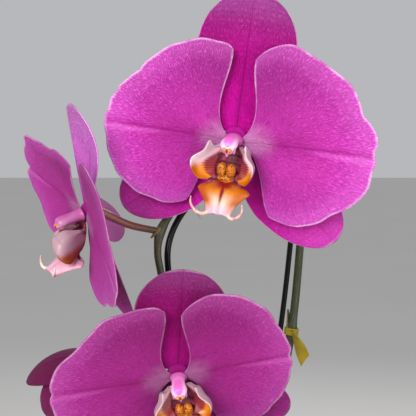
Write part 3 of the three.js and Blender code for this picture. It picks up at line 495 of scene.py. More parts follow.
class Recipe:
    """Builds one procedural material: each method adds a node, joins it up and returns what it gives.

    Its place is the point in the object's own coordinates, in metres. Colours are screen colours.
    """

    # Where a Mix node has its share, its two colours and the colour that it gives
    SHARE, LOW, HIGH, MIXED = 0, 6, 7, 2

    def __init__(self, name: str, **sockets: float | Numbers) -> None:
        """Starts a material with one principled shader.

        Args:
            name: The material's name.
            sockets: Values set on the shader's own sockets, with _ for a space in their names.
        """
        self.material = bpy.data.materials.new(name)
        self.material.use_nodes = True
        self.tree = self.material.node_tree
        self.shader = self.tree.nodes["Principled BSDF"]
        self.coordinates = self.node("ShaderNodeTexCoord", {}).outputs
        self.place = self.coordinates["Object"]
        for label, value in sockets.items():
            self.set(label.replace("_", " "), value)

    def fill(self, socket: Socket, value: float | Numbers | Socket) -> None:
        """Joins another node's output to a socket, or sets the socket to a value.

        Args:
            socket: The socket that is filled.
            value: A node's output, a number, a vector or an opaque colour.
        """
        if isinstance(value, Socket):
            self.tree.links.new(value, socket)
        elif isinstance(value, tuple) and socket.type == "RGBA":
            socket.default_value = (*linear(value), 1.0)
        else:
            socket.default_value = value

    def set(self, label: str, value: float | Numbers | Socket) -> None:
        """Fills one of the shader's own sockets."""
        self.fill(self.shader.inputs[label], value)

    def node(self, kind: str, inputs: dict[str | int, object], **settings: object) -> bpy.types.Node:
        """Adds a node.

        Args:
            kind: The name of its type.
            inputs: What fills its inputs, by their names or places.
            settings: Its options.

        Returns:
            The node.
        """
        made = self.tree.nodes.new(kind)
        for name, value in settings.items():
            setattr(made, name, value)
        for key, value in inputs.items():
            self.fill(made.inputs[key], value)
        return made

    def surface(self) -> tuple[Socket, Socket]:
        """The place along the surface's rows and along its columns, each from 0 to 1."""
        parts = self.node("ShaderNodeSeparateXYZ", {0: self.coordinates["UV"]}).outputs
        return parts["X"], parts["Y"]

    def mark(self, name: str) -> Socket:
        """A named value that the mesh carries for each point."""
        return self.node("ShaderNodeAttribute", {}, attribute_name=name).outputs["Fac"]

    def vector(self, x: Socket | float, y: Socket | float, z: Socket | float = 0.0) -> Socket:
        """Three values as one vector."""
        return self.node("ShaderNodeCombineXYZ", {0: x, 1: y, 2: z}).outputs[0]

    def maths(self, kind: str, a: Socket | float, b: Socket | float = 0.0) -> Socket:
        """A sum, product or other operation on two values."""
        return self.node("ShaderNodeMath", {0: a, 1: b}, operation=kind).outputs[0]

    def times(self, a: Socket, b: Socket | float) -> Socket:
        """The product of two values."""
        return self.maths("MULTIPLY", a, b)

    def off(self, value: Socket, middle: float = 0.5) -> Socket:
        """How far a value lies from a middle, on either side."""
        return self.maths("ABSOLUTE", self.maths("SUBTRACT", value, middle))

    def span(self, value: Socket, low: float, high: float, start: float = 0.0, end: float = 1.0) -> Socket:
        """Goes smoothly from start to end as a value goes from low to high."""
        inputs = {"Value": value, "From Min": low, "From Max": high, "To Min": start, "To Max": end}
        return self.node("ShaderNodeMapRange", inputs, interpolation_type="SMOOTHSTEP").outputs[0]

    def fall(self, value: Socket, low: float, high: float) -> Socket:
        """Goes smoothly from 1 to 0 as a value goes from low to high."""
        return self.span(value, low, high, 1.0, 0.0)

    def noise(
        self, scale: float, detail: float = 3.0, roughness: float = 0.5, over: Socket | None = None
    ) -> Socket:
        """Soft noise over the object's own coordinates, or over another place."""
        inputs = {"Vector": self.place if over is None else over, "Scale": scale, "Detail": detail}
        return self.node("ShaderNodeTexNoise", inputs | {"Roughness": roughness}).outputs["Fac"]

    def wander(self, scale: float, amount: float, detail: float = 2.0) -> Socket:
        """Soft noise that wanders round 0, by half the amount to each side."""
        return self.times(self.maths("SUBTRACT", self.noise(scale, detail), 0.5), amount)

    def cells(self, place: Socket, scale: float, feature: str = "DISTANCE_TO_EDGE") -> Socket:
        """The distance to the edges, or to the middles, of irregular cells."""
        made = self.node("ShaderNodeTexVoronoi", {"Vector": place, "Scale": scale}, feature=feature)
        return made.outputs["Distance"]

    def blend(self, share: Socket | float, low: Colour | Socket, high: Colour | Socket) -> Socket:
        """The colour that lies the given share of the way from low to high."""
        inputs = {self.SHARE: share, self.LOW: low, self.HIGH: high}
        return self.node("ShaderNodeMix", inputs, data_type="RGBA").outputs[self.MIXED]

    def relief(self, height: Socket, distance: float, strength: float) -> None:
        """Shades the surface as if it stood up by the distance in metres times the height."""
        inputs = {"Height": height, "Distance": distance, "Strength": strength}
        self.set("Normal", self.node("ShaderNodeBump", inputs).outputs[0])


@dataclass(frozen=True)
class TepalFinish:
    """The skin of petals and sepals: a magenta ground with a net of veins and a pale rim.

    The ground goes from the base colour at the claw to the tip colour, with a deeper band beside the
    midvein. Towards the blade's upper edge it goes to the shade colour as painted shade, as far as shaded
    says. The rim colour is painted sheen: a pale band towards the tip, pale lines between the pleats and a
    painted highlight on the midvein's crest. Halo tells how pale the rays round the claw are, ridge how
    strong that painted highlight on the crest is, and vein_strength how much the fan of veins shows. The
    back of the blade has its own colour.
    """

    name: str
    base: Colour
    middle: Colour
    tip: Colour
    back: Colour
    vein: Colour = (150, 12, 118)
    rim: Colour = (234, 122, 218)
    shade: Colour = (138, 36, 116)
    shaded: float = 0.76
    halo: float = 0.0
    ridge: float = 0.0
    vein_strength: float = 0.6

    def material(self) -> Material:
        """Builds the material from the blade's rows (claw to tip), columns (edge to edge) and mark deep,
        which is the bloom's painted shade.

        Returns:
            The material.
        """
        r = Recipe(self.name, Roughness=0.52, IOR=1.4, Sheen_Weight=0.06, Sheen_Roughness=0.4,
                   Sheen_Tint=(255, 180, 245), Subsurface_Weight=0.12, Subsurface_Scale=0.003,
                   Subsurface_Radius=(1.0, 0.35, 0.7), Specular_IOR_Level=0.12)
        u, v = r.surface()
        centred = r.off(v)
        across = r.maths("ADD", v, r.wander(90.0, 0.03))
        fan = r.noise(1.0, 3.0, 0.6, r.vector(r.times(u, 9.0), r.times(across, 90.0)))
        fibre = r.noise(1.0, 3.0, 0.6, r.vector(r.times(u, 26.0), r.times(across, 230.0)))
        grain = r.noise(1300.0, 2.0, 0.6)
        cloud = r.noise(45.0, 3.0)
        ground = r.blend(r.span(u, 0.05, 0.5), self.base, self.middle)
        ground = r.blend(r.span(u, 0.5, 1.0), ground, self.tip)
        # Painted shade: the upper half of the blade darkens towards the shade colour.
        above = r.times(r.span(v, 0.38, 0.92), r.span(u, 0.2, 0.8))
        ground = r.blend(r.times(above, self.shaded), ground, self.shade)
        ground = r.blend(r.span(cloud, 0.3, 0.75, 0.0, 0.35), ground, self.shade)
        lines = r.times(r.fall(fibre, 0.4, 0.58), r.span(u, 0.1, 0.8, 0.6, 1.0))
        pits = r.fall(grain, 0.34, 0.56)
        shown = r.maths("ADD", r.times(lines, 0.3), r.times(pits, 0.26))
        ground = r.blend(shown, ground, self.vein)
        # Painted sheen: pale lines of the rim colour between the fine fibres, and a pale band towards the
        # blade's tip.
        painted_pleat_sheen = r.times(r.span(fibre, 0.48, 0.72), r.span(u, 0.45, 1.0, 0.08, 0.26))
        painted_sheen_band = r.span(u, 0.74, 0.98, 0.0, 0.24)
        ground = r.blend(r.maths("ADD", painted_pleat_sheen, painted_sheen_band), ground, self.rim)
        rays = r.times(r.span(fan, 0.5, 0.6), r.span(u, 0.1, 0.85, 0.9, 0.0))
        ground = r.blend(r.times(rays, self.vein_strength), ground, self.vein)
        # A dark line down the midvein in the vein colour: partly the vein's own colour, partly painted
        # shade in the crease along it.
        midvein = r.times(r.fall(centred, 0.0, 0.014), r.span(u, 0.1, 1.0, 1.0, 0.45))
        beside = r.times(r.fall(centred, 0.0, 0.12), r.span(u, 0.1, 0.8, 0.55, 0.0))
        ground = r.blend(r.maths("MAXIMUM", r.times(midvein, 0.85), beside), ground, self.vein)
        # Painted highlight: a pale line in the rim colour along the crest beside the midvein's crease.
        if self.ridge:
            ridge = r.fall(r.off(v, 0.482), 0.0, 0.016)
            ground = r.blend(r.times(ridge, r.span(u, 0.4, 0.8, 0.0, self.ridge)), ground, self.rim)
        if self.halo:
            ray = r.span(fan, 0.35, 0.62, 1.0, 0.35)
            patch = r.times(r.fall(u, 0.06, 0.3), ray)
            ground = r.blend(r.times(patch, self.halo), ground, (252, 196, 242))
        edge = r.maths("MAXIMUM", r.span(u, 0.972, 0.995), r.span(centred, 0.485, 0.499))
        worn = r.span(r.noise(140.0, 2.0), 0.35, 0.6, 0.25, 0.75)
        ground = r.blend(r.times(edge, worn), ground, (242, 190, 234))
        colour = r.blend(r.span(r.mark("front"), 0.2, 0.8), self.back, ground)
        # Painted shade: the mark deep darkens the whole blade of a bloom that lies in less light.
        colour = r.blend(r.times(r.mark("deep"), 0.84), colour, (98, 4, 50))
        r.set("Base Color", colour)
        height = r.maths("SUBTRACT", r.times(grain, 0.3), r.maths("ADD", lines, midvein))
        r.relief(height, 0.0003, 0.8)
        r.set("Roughness", r.span(grain, 0.2, 0.8, 0.46, 0.6))
        return r.material


@dataclass(frozen=True)
class SideLobeFinish:
    """The lip's two upright lobes: red stripes low on the inside, then orange, then white and pink."""

    name: str = "lip_side_lobes"

    def material(self) -> Material:
        """Builds the material from the lobe's columns (root to rim) and its mark rise, for height.

        Returns:
            The material.
        """
        r = Recipe(self.name, Roughness=0.35, IOR=1.42, Subsurface_Weight=0.18, Subsurface_Scale=0.002,
                   Subsurface_Radius=(1.0, 0.5, 0.35))
        s, out = r.surface()
        uneven = r.wander(260.0, 0.16)
        rise = r.maths("ADD", r.mark("rise"), uneven)
        reach = r.maths("ADD", r.maths("ADD", out, uneven), r.span(r.mark("rise"), 0.35, 0.75, 0.0, 0.28))
        white = r.blend(r.span(reach, 0.45, 0.95), (232, 190, 204), (250, 228, 238))
        low = r.blend(r.span(reach, 0.5, 1.0), (206, 122, 8), (184, 92, 0))
        ground = r.blend(r.span(rise, 0.28, 0.5), low, white)
        # The throat's own mottled maroon with painted shade: it darkens the inside of the lobe near its
        # root and high up, where the throat lies in shade.
        throat_mottle_and_shade = r.blend(r.span(r.noise(800.0, 2.0), 0.4, 0.6), (92, 16, 44), (136, 52, 84))
        flesh = r.blend(r.span(rise, 0.2, 0.6), (154, 24, 26), (146, 44, 62))
        inner = r.blend(r.fall(reach, 0.22, 0.42), ground, flesh)
        wave = r.maths("SINE", r.times(r.maths("ADD", s, r.times(uneven, 0.3)), 112.0))
        near = r.times(r.fall(reach, 0.24, 0.42), r.fall(rise, 0.5, 0.72))
        inner = r.blend(r.times(r.times(r.span(wave, -0.2, 0.7), near), 0.85), inner, (84, 2, 14))
        # Painted shade with the throat's mottle, near the root on the upper part of the lobe.
        inner = r.blend(r.times(r.fall(reach, 0.16, 0.34), r.span(rise, 0.4, 0.6)), inner, throat_mottle_and_shade)
        outer = r.blend(r.span(rise, 0.24, 0.5), (150, 70, 22), (176, 142, 152))
        r.set("Base Color", r.blend(r.mark("front"), outer, inner))
        r.relief(r.noise(900.0, 2.0), 0.0001, 0.4)
        return r.material


@dataclass(frozen=True)
class MiddleLobeFinish:
    """The lip's arrowhead: crimson at its root, orange shoulders, a cream middle and a mauve tip."""

    name: str = "lip_middle_lobe"

    def material(self) -> Material:
        """Builds the material from the lobe's rows (root to tip), columns (edge to edge) and mark pale.

        Returns:
            The material.
        """
        r = Recipe(self.name, Roughness=0.36, IOR=1.42, Subsurface_Weight=0.18, Subsurface_Scale=0.002,
                   Subsurface_Radius=(1.0, 0.5, 0.35))
        u, v = r.surface()
        along = r.maths("ADD", u, r.wander(320.0, 0.22))
        out = r.off(v)
        ground = r.blend(r.span(along, 0.36, 0.74), (210, 124, 10), (232, 196, 176))
        ground = r.blend(r.times(r.span(along, 0.66, 0.96), 0.8), ground, (228, 170, 200))
        shoulder = r.times(r.span(out, 0.14, 0.4), r.fall(along, 0.6, 0.95))
        ground = r.blend(shoulder, ground, (184, 88, 0))
        patch = r.times(r.fall(along, 0.14, 0.44), r.fall(out, 0.08, 0.36))
        streak = r.times(r.fall(out, 0.012, 0.075), r.fall(along, 0.5, 1.0))
        ground = r.blend(r.maths("MAXIMUM", patch, streak), ground, (134, 10, 24))
        ground = r.blend(r.times(r.fall(along, 0.02, 0.18), 0.9), ground, (126, 14, 12))
        dash = r.times(r.fall(out, 0.02, 0.06), r.span(u, 0.88, 0.93))
        ground = r.blend(r.times(dash, 0.7), ground, (230, 140, 60))
        pale = r.times(r.mark("pale"), r.span(along, 0.0, 0.12, 0.5, 1.0))
        ground = r.blend(pale, ground, (222, 164, 190))
        under = r.blend(r.span(along, 0.1, 0.5), (196, 116, 120), (216, 164, 200))
        r.set("Base Color", r.blend(r.mark("front"), under, ground))
        r.relief(r.noise(900.0, 2.0), 0.0001, 0.4)
        return r.material


@dataclass(frozen=True)
class SpeckledFinish:
    """A waxy ground with darker specks or bars, as in the throat and on the callus."""

    name: str
    ground: Colour
    second: Colour
    specks: Colour
    scale: float
    bars: float = 0.0

    def material(self) -> Material:
        """Builds the material. Bars cross the surface's rows, unless bars is 0.

        Returns:
            The material.
        """
        r = Recipe(self.name, Roughness=0.5, IOR=1.38, Subsurface_Weight=0.1, Subsurface_Scale=0.002)
        u, _ = r.surface()
        ground = r.blend(r.span(r.noise(self.scale * 0.4), 0.35, 0.65), self.ground, self.second)
        spots = r.span(r.noise(self.scale, 1.0), 0.52, 0.62)
        if self.bars:
            wobble = r.times(r.noise(300.0, 1.0), 1.6)
            wave = r.maths("SINE", r.maths("ADD", r.times(u, self.bars), wobble))
            spots = r.maths("MAXIMUM", r.times(spots, 0.7), r.span(wave, 0.1, 0.8))
        r.set("Base Color", r.blend(spots, ground, self.specks))
        r.relief(r.noise(self.scale * 1.5, 2.0), 0.00015, 0.4)
        return r.material


@dataclass(frozen=True)
class ColumnFinish:
    """The column: pale pink sides, a bright pink face, and a buff anther cap with a dark notch."""

    name: str = "column"

    def material(self) -> Material:
        """Builds the material from the marks face, cap and notch, and dim for a column in the shade.

        Returns:
            The material.
        """
        r = Recipe(self.name, Roughness=0.32, IOR=1.42, Subsurface_Weight=0.25, Subsurface_Scale=0.002,
                   Subsurface_Radius=(1.0, 0.5, 0.8), Coat_Weight=0.1, Coat_Roughness=0.35)
        u, _ = r.surface()
        ground = r.blend(r.span(u, 0.15, 0.5), (214, 92, 178), (248, 196, 230))
        ground = r.blend(r.span(r.mark("face"), 0.0, 1.0), ground, (240, 112, 204))
        ground = r.blend(r.times(r.mark("dim"), 0.9), ground, (172, 88, 142))
        ground = r.blend(r.mark("cap"), ground, (206, 138, 72))
        ground = r.blend(r.mark("notch"), ground, (110, 20, 30))
        mottle = r.times(r.span(r.noise(700.0), 0.5, 0.75), 0.18)
        r.set("Base Color", r.blend(mottle, ground, (225, 120, 200)))
        r.relief(r.noise(1200.0, 2.0), 0.0001, 0.35)
        return r.material


@dataclass(frozen=True)
class StemFinish:
    """Spike, flower stalks and bracts: dull green, flushed reddish brown where the mesh says so."""

    name: str = "spike"

    def material(self) -> Material:
        """Builds the material: long faint streaks, small pale dots and a flush over the green.

        Returns:
            The material.
        """
        r = Recipe(self.name, Roughness=0.42, IOR=1.42, Subsurface_Weight=0.08, Subsurface_Scale=0.002,
                   Coat_Weight=0.06, Coat_Roughness=0.4)
        u, v = r.surface()
        streak = r.noise(1.0, 2.0, over=r.vector(r.times(u, 60.0), r.times(v, 26.0)))
        ground = r.blend(r.span(streak, 0.3, 0.7), (36, 44, 24), (68, 74, 42))
        flush = r.maths("ADD", r.mark("flush"), r.wander(60.0, 0.5, 3.0))
        ground = r.blend(r.span(flush, 0.3, 0.9), ground, (132, 76, 70))
        ground = r.blend(r.times(r.mark("scale"), 0.8), ground, (128, 98, 62))
        dots = r.fall(r.cells(r.place, 900.0, "F1"), 0.12, 0.2)
        r.set("Base Color", r.blend(r.times(dots, 0.3), ground, (170, 160, 120)))
        r.relief(streak, 0.0002, 0.35)
        return r.material


@dataclass(frozen=True)
class BudFinish:
    """A closed bud: green at its base, flushed with magenta along the seams and at its tip."""

    name: str = "bud"

    def material(self) -> Material:
        """Builds the material from the bud's rows (base to tip).

        Returns:
            The material.
        """
        r = Recipe(self.name, Roughness=0.42, IOR=1.42, Subsurface_Weight=0.15, Subsurface_Scale=0.003)
        u, v = r.surface()
        veins = r.fall(r.cells(r.vector(r.times(u, 8.0), r.times(v, 34.0)), 1.0), 0.0, 0.2)
        ground = r.blend(r.span(r.noise(120.0), 0.3, 0.7), (104, 118, 66), (150, 128, 104))
        ground = r.blend(r.span(u, 0.25, 1.0, 0.1, 0.85), ground, (168, 62, 138))
        r.set("Base Color", r.blend(r.times(veins, 0.3), ground, (120, 40, 96)))
        r.relief(veins, 0.0001, 0.4)
        return r.material


@dataclass(frozen=True)
class LeafFinish:
    """A thick leaf: deep green above with faint long veins, paler below and flushed with purple."""

    name: str = "leaf"

    def material(self) -> Material:
        """Builds the material from the leaf's rows (base to tip) and columns (edge to edge).

        Returns:
            The material.
        """
        r = Recipe(self.name, Roughness=0.32, IOR=1.45, Subsurface_Weight=0.04, Subsurface_Scale=0.003,
                   Coat_Weight=0.18, Coat_Roughness=0.28)
        u, v = r.surface()
        out = r.off(v)
        grain = r.noise(1.0, over=r.vector(r.times(u, 5.0), r.times(v, 90.0)))
        ground = r.blend(r.span(r.noise(18.0, 4.0), 0.3, 0.7), (34, 66, 28), (60, 98, 42))
        ground = r.blend(r.times(r.span(grain, 0.45, 0.75), 0.35), ground, (92, 128, 62))
        ground = r.blend(r.span(out, 0.0, 0.035, 0.5, 0.0), ground, (112, 142, 76))
        ground = r.blend(r.span(out, 0.485, 0.5, 0.0, 0.6), ground, (96, 60, 56))
        ground = r.blend(r.span(u, 0.0, 0.12, 0.55, 0.0), ground, (126, 140, 84))
        flecks = r.span(r.noise(210.0, 2.0), 0.66, 0.74)
        ground = r.blend(r.times(flecks, 0.25), ground, (130, 132, 84))
        below = r.blend(r.span(r.noise(30.0), 0.35, 0.7), (88, 112, 66), (104, 72, 76))
        r.set("Base Color", r.blend(r.mark("front"), below, ground))
        r.set("Roughness", r.span(r.noise(60.0), 0.3, 0.7, 0.27, 0.42))
        r.relief(r.maths("ADD", grain, r.times(r.noise(500.0), 0.4)), 0.0002, 0.4)
        return r.material


@dataclass(frozen=True)
class RootFinish:
    """Aerial roots in a silvery coat with green beneath it and green growing tips, and the crown."""

    name: str = "root"

    def material(self) -> Material:
        """Builds the material from the marks for the tips and the crown's green sheaths.

        Returns:
            The material.
        """
        r = Recipe(self.name, Roughness=0.72, IOR=1.4)
        silver = r.span(r.noise(160.0, 4.0), 0.3, 0.72)
        coat = r.blend(silver, (142, 150, 128), (196, 198, 184))
        coat = r.blend(r.span(r.noise(42.0, 3.0), 0.5, 0.75, 0.0, 0.7), coat, (110, 128, 84))
        coat = r.blend(r.mark("tip"), coat, (98, 124, 58))
        faded = r.span(r.noise(80.0, 3.0), 0.35, 0.7)
        sheath = r.blend(faded, (84, 108, 56), (132, 138, 84))
        sheath = r.blend(r.span(r.mark("dry"), 0.3, 0.8), sheath, (136, 104, 70))
        r.set("Base Color", r.blend(r.mark("crown"), coat, sheath))
        r.relief(r.noise(700.0, 4.0), 0.0003, 0.6)
        return r.material


@dataclass(frozen=True)
class BarkFinish:
    """Chips of bark: brown to reddish, with grain along them and pale worn edges."""

    name: str = "bark"

    def material(self) -> Material:
        """Builds the material. Each chip's shade comes from its mark shade.

        Returns:
            The material.
        """
        r = Recipe(self.name, Roughness=0.85, IOR=1.4)
        ground = r.blend(r.mark("shade"), (70, 44, 30), (146, 100, 68))
        grain = r.noise(380.0, 6.0, 0.7)
        ground = r.blend(r.span(grain, 0.4, 0.7, 0.0, 0.7), ground, (48, 30, 22))
        pale = r.span(r.noise(130.0, 4.0), 0.6, 0.78, 0.0, 0.6)
        r.set("Base Color", r.blend(pale, ground, (176, 138, 104)))
        r.relief(grain, 0.0012, 0.9)
        return r.material


@dataclass(frozen=True)
class GlazeFinish:
    """The pot's off-white glaze, with a faint tide of thickness and a few fine specks."""

    name: str = "pot_glaze"

    def material(self) -> Material:
        """Builds the material. The glaze thins to buff at the rim and the foot.

        Returns:
            The material.
        """
        r = Recipe(self.name, Roughness=0.16, IOR=1.5, Coat_Weight=0.5, Coat_Roughness=0.06)
        height = r.node("ShaderNodeSeparateXYZ", {0: r.place}).outputs["Z"]
        tide = r.span(r.noise(14.0, 3.0), 0.3, 0.7)
        ground = r.blend(tide, (232, 229, 220), (242, 240, 234))
        thin = r.maths("MAXIMUM", r.span(height, 0.1155, 0.118), r.fall(height, 0.0, 0.0016))
        ground = r.blend(r.times(thin, 0.45), ground, (206, 190, 164))
        specks = r.span(r.noise(420.0, 1.0), 0.72, 0.76)
        r.set("Base Color", r.blend(r.times(specks, 0.35), ground, (150, 132, 108)))
        r.relief(r.noise(60.0, 2.0), 0.0006, 0.3)
        r.set("Roughness", r.span(r.noise(30.0), 0.3, 0.7, 0.12, 0.22))
        return r.material


@dataclass(frozen=True)
class ClearFinish:
    """Thin clear plastic, a little cloudy and scuffed."""

    name: str
    tint: Colour
    opacity: float

    def material(self) -> Material:
        """Builds the material.

        Returns:
            The material.
        """
        r = Recipe(self.name, Base_Color=self.tint, IOR=1.45, Alpha=self.opacity)
        scuffs = r.noise(300.0, 4.0)
        r.set("Roughness", r.span(scuffs, 0.3, 0.75, 0.12, 0.34))
        r.relief(scuffs, 0.0001, 0.3)
        return r.material


@dataclass(frozen=True)
class CoatedWireFinish:
    """Wire in a dark grey coat with small bright scuffs."""

    name: str = "wire"

    def material(self) -> Material:
        """Builds the material.

        Returns:
            The material.
        """
        r = Recipe(self.name, IOR=1.5, Specular_IOR_Level=0.16, Coat_Weight=0.03, Coat_Roughness=0.2)
        scuffs = r.span(r.noise(500.0, 4.0, 0.7), 0.6, 0.78)
        r.set("Base Color", r.blend(r.times(scuffs, 0.3), (10, 10, 11), (70, 70, 72)))
        r.set("Roughness", r.span(scuffs, 0.0, 1.0, 0.28, 0.5))
        r.relief(r.noise(700.0, 2.0), 0.00008, 0.4)
        return r.material


@dataclass(frozen=True)
class TagFinish:
    """A plain yellow strip of film with soft creases and nothing on it."""

    name: str = "tag"

    def material(self) -> Material:
        """Builds the material.

        Returns:
            The material.
        """
        r = Recipe(self.name, IOR=1.45, Roughness=0.4)
        fade = r.noise(150.0, 3.0)
        r.set("Base Color", r.blend(r.span(fade, 0.3, 0.7), (138, 118, 2), (164, 144, 10)))
        r.relief(r.noise(320.0, 3.0), 0.0003, 0.5)
        return r.material


# Pieces


def mesh_from(name: str, solid: Solid) -> bpy.types.Mesh:
    """Writes a solid into a smooth mesh in metres, and welds its poles and seams.

    Args:
        name: The mesh's name.
        solid: The solid, in millimetres.

    Returns:
        The mesh, with the solid's places as its UV map and its marks as attributes.
    """
    turned = solid.outward()
    mesh = bpy.data.meshes.new(name)
    mesh.from_pydata((turned.points * MM).tolist(), [], turned.quads.tolist())
    layer = mesh.uv_layers.new(name="surface")
    layer.data.foreach_set("uv", turned.surface[turned.quads.ravel()].astype(np.float32).ravel())
    for mark, values in turned.marks.items():
        attribute = mesh.attributes.new(mark, "FLOAT", "POINT")
        attribute.data.foreach_set("value", values.astype(np.float32))
    work = bmesh.new()
    work.from_mesh(mesh)
    bmesh.ops.remove_doubles(work, verts=work.verts, dist=WELD)
    work.to_mesh(mesh)
    work.free()
    mesh.shade_smooth()
    return mesh


def add_piece(name: str, solid: Solid, material: Material, slot: str, *nodes: str) -> None:
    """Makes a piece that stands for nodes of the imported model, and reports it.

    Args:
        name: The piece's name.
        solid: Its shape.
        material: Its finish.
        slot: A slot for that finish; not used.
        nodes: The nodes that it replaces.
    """
    piece = bpy.data.objects.new(name, mesh_from(name, solid))
    piece.data.materials.append(material)
    bpy.context.scene.collection.objects.link(piece)
    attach(piece, "root")
    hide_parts(*nodes)
    LOG.info("%s: %d faces", name, len(piece.data.polygons))


@dataclass(frozen=True)
class SepalForm:
    """The outline of a sepal: an even swell to its widest row, then half an ellipse to a blunt tip.

    Widest is that row's share of the length, swell the power of the swelling, and blunt the tip's width
    as a share of the widest.
    """

    length: float
    half_width: float
    base_half: float
    widest: float
    swell: float
    blunt: float


TOP_SEPAL = SepalForm(length=56, half_width=20, base_half=7, widest=0.62, swell=1.6, blunt=0.42)
SIDE_SEPAL = SepalForm(length=51.5, half_width=14.5, base_half=4.5, widest=0.5, swell=1, blunt=0.45)


def facing(faces: Numbers, roll: float) -> Array:
    """Works out how a bloom is turned.

    Args:
        faces: The way that it faces.
        roll: How far it rolls round that way, in degrees.

    Returns:
        The turn whose columns are the bloom's right, up and forward.
    """
    forward = unit(np.array(faces, float))
    right = unit(np.cross((0, 0, 1), forward))
    up = np.cross(forward, right)
    c, s = cos_sin(roll)
    return np.stack([right * c - up * s, up * c + right * s, forward], axis=1)


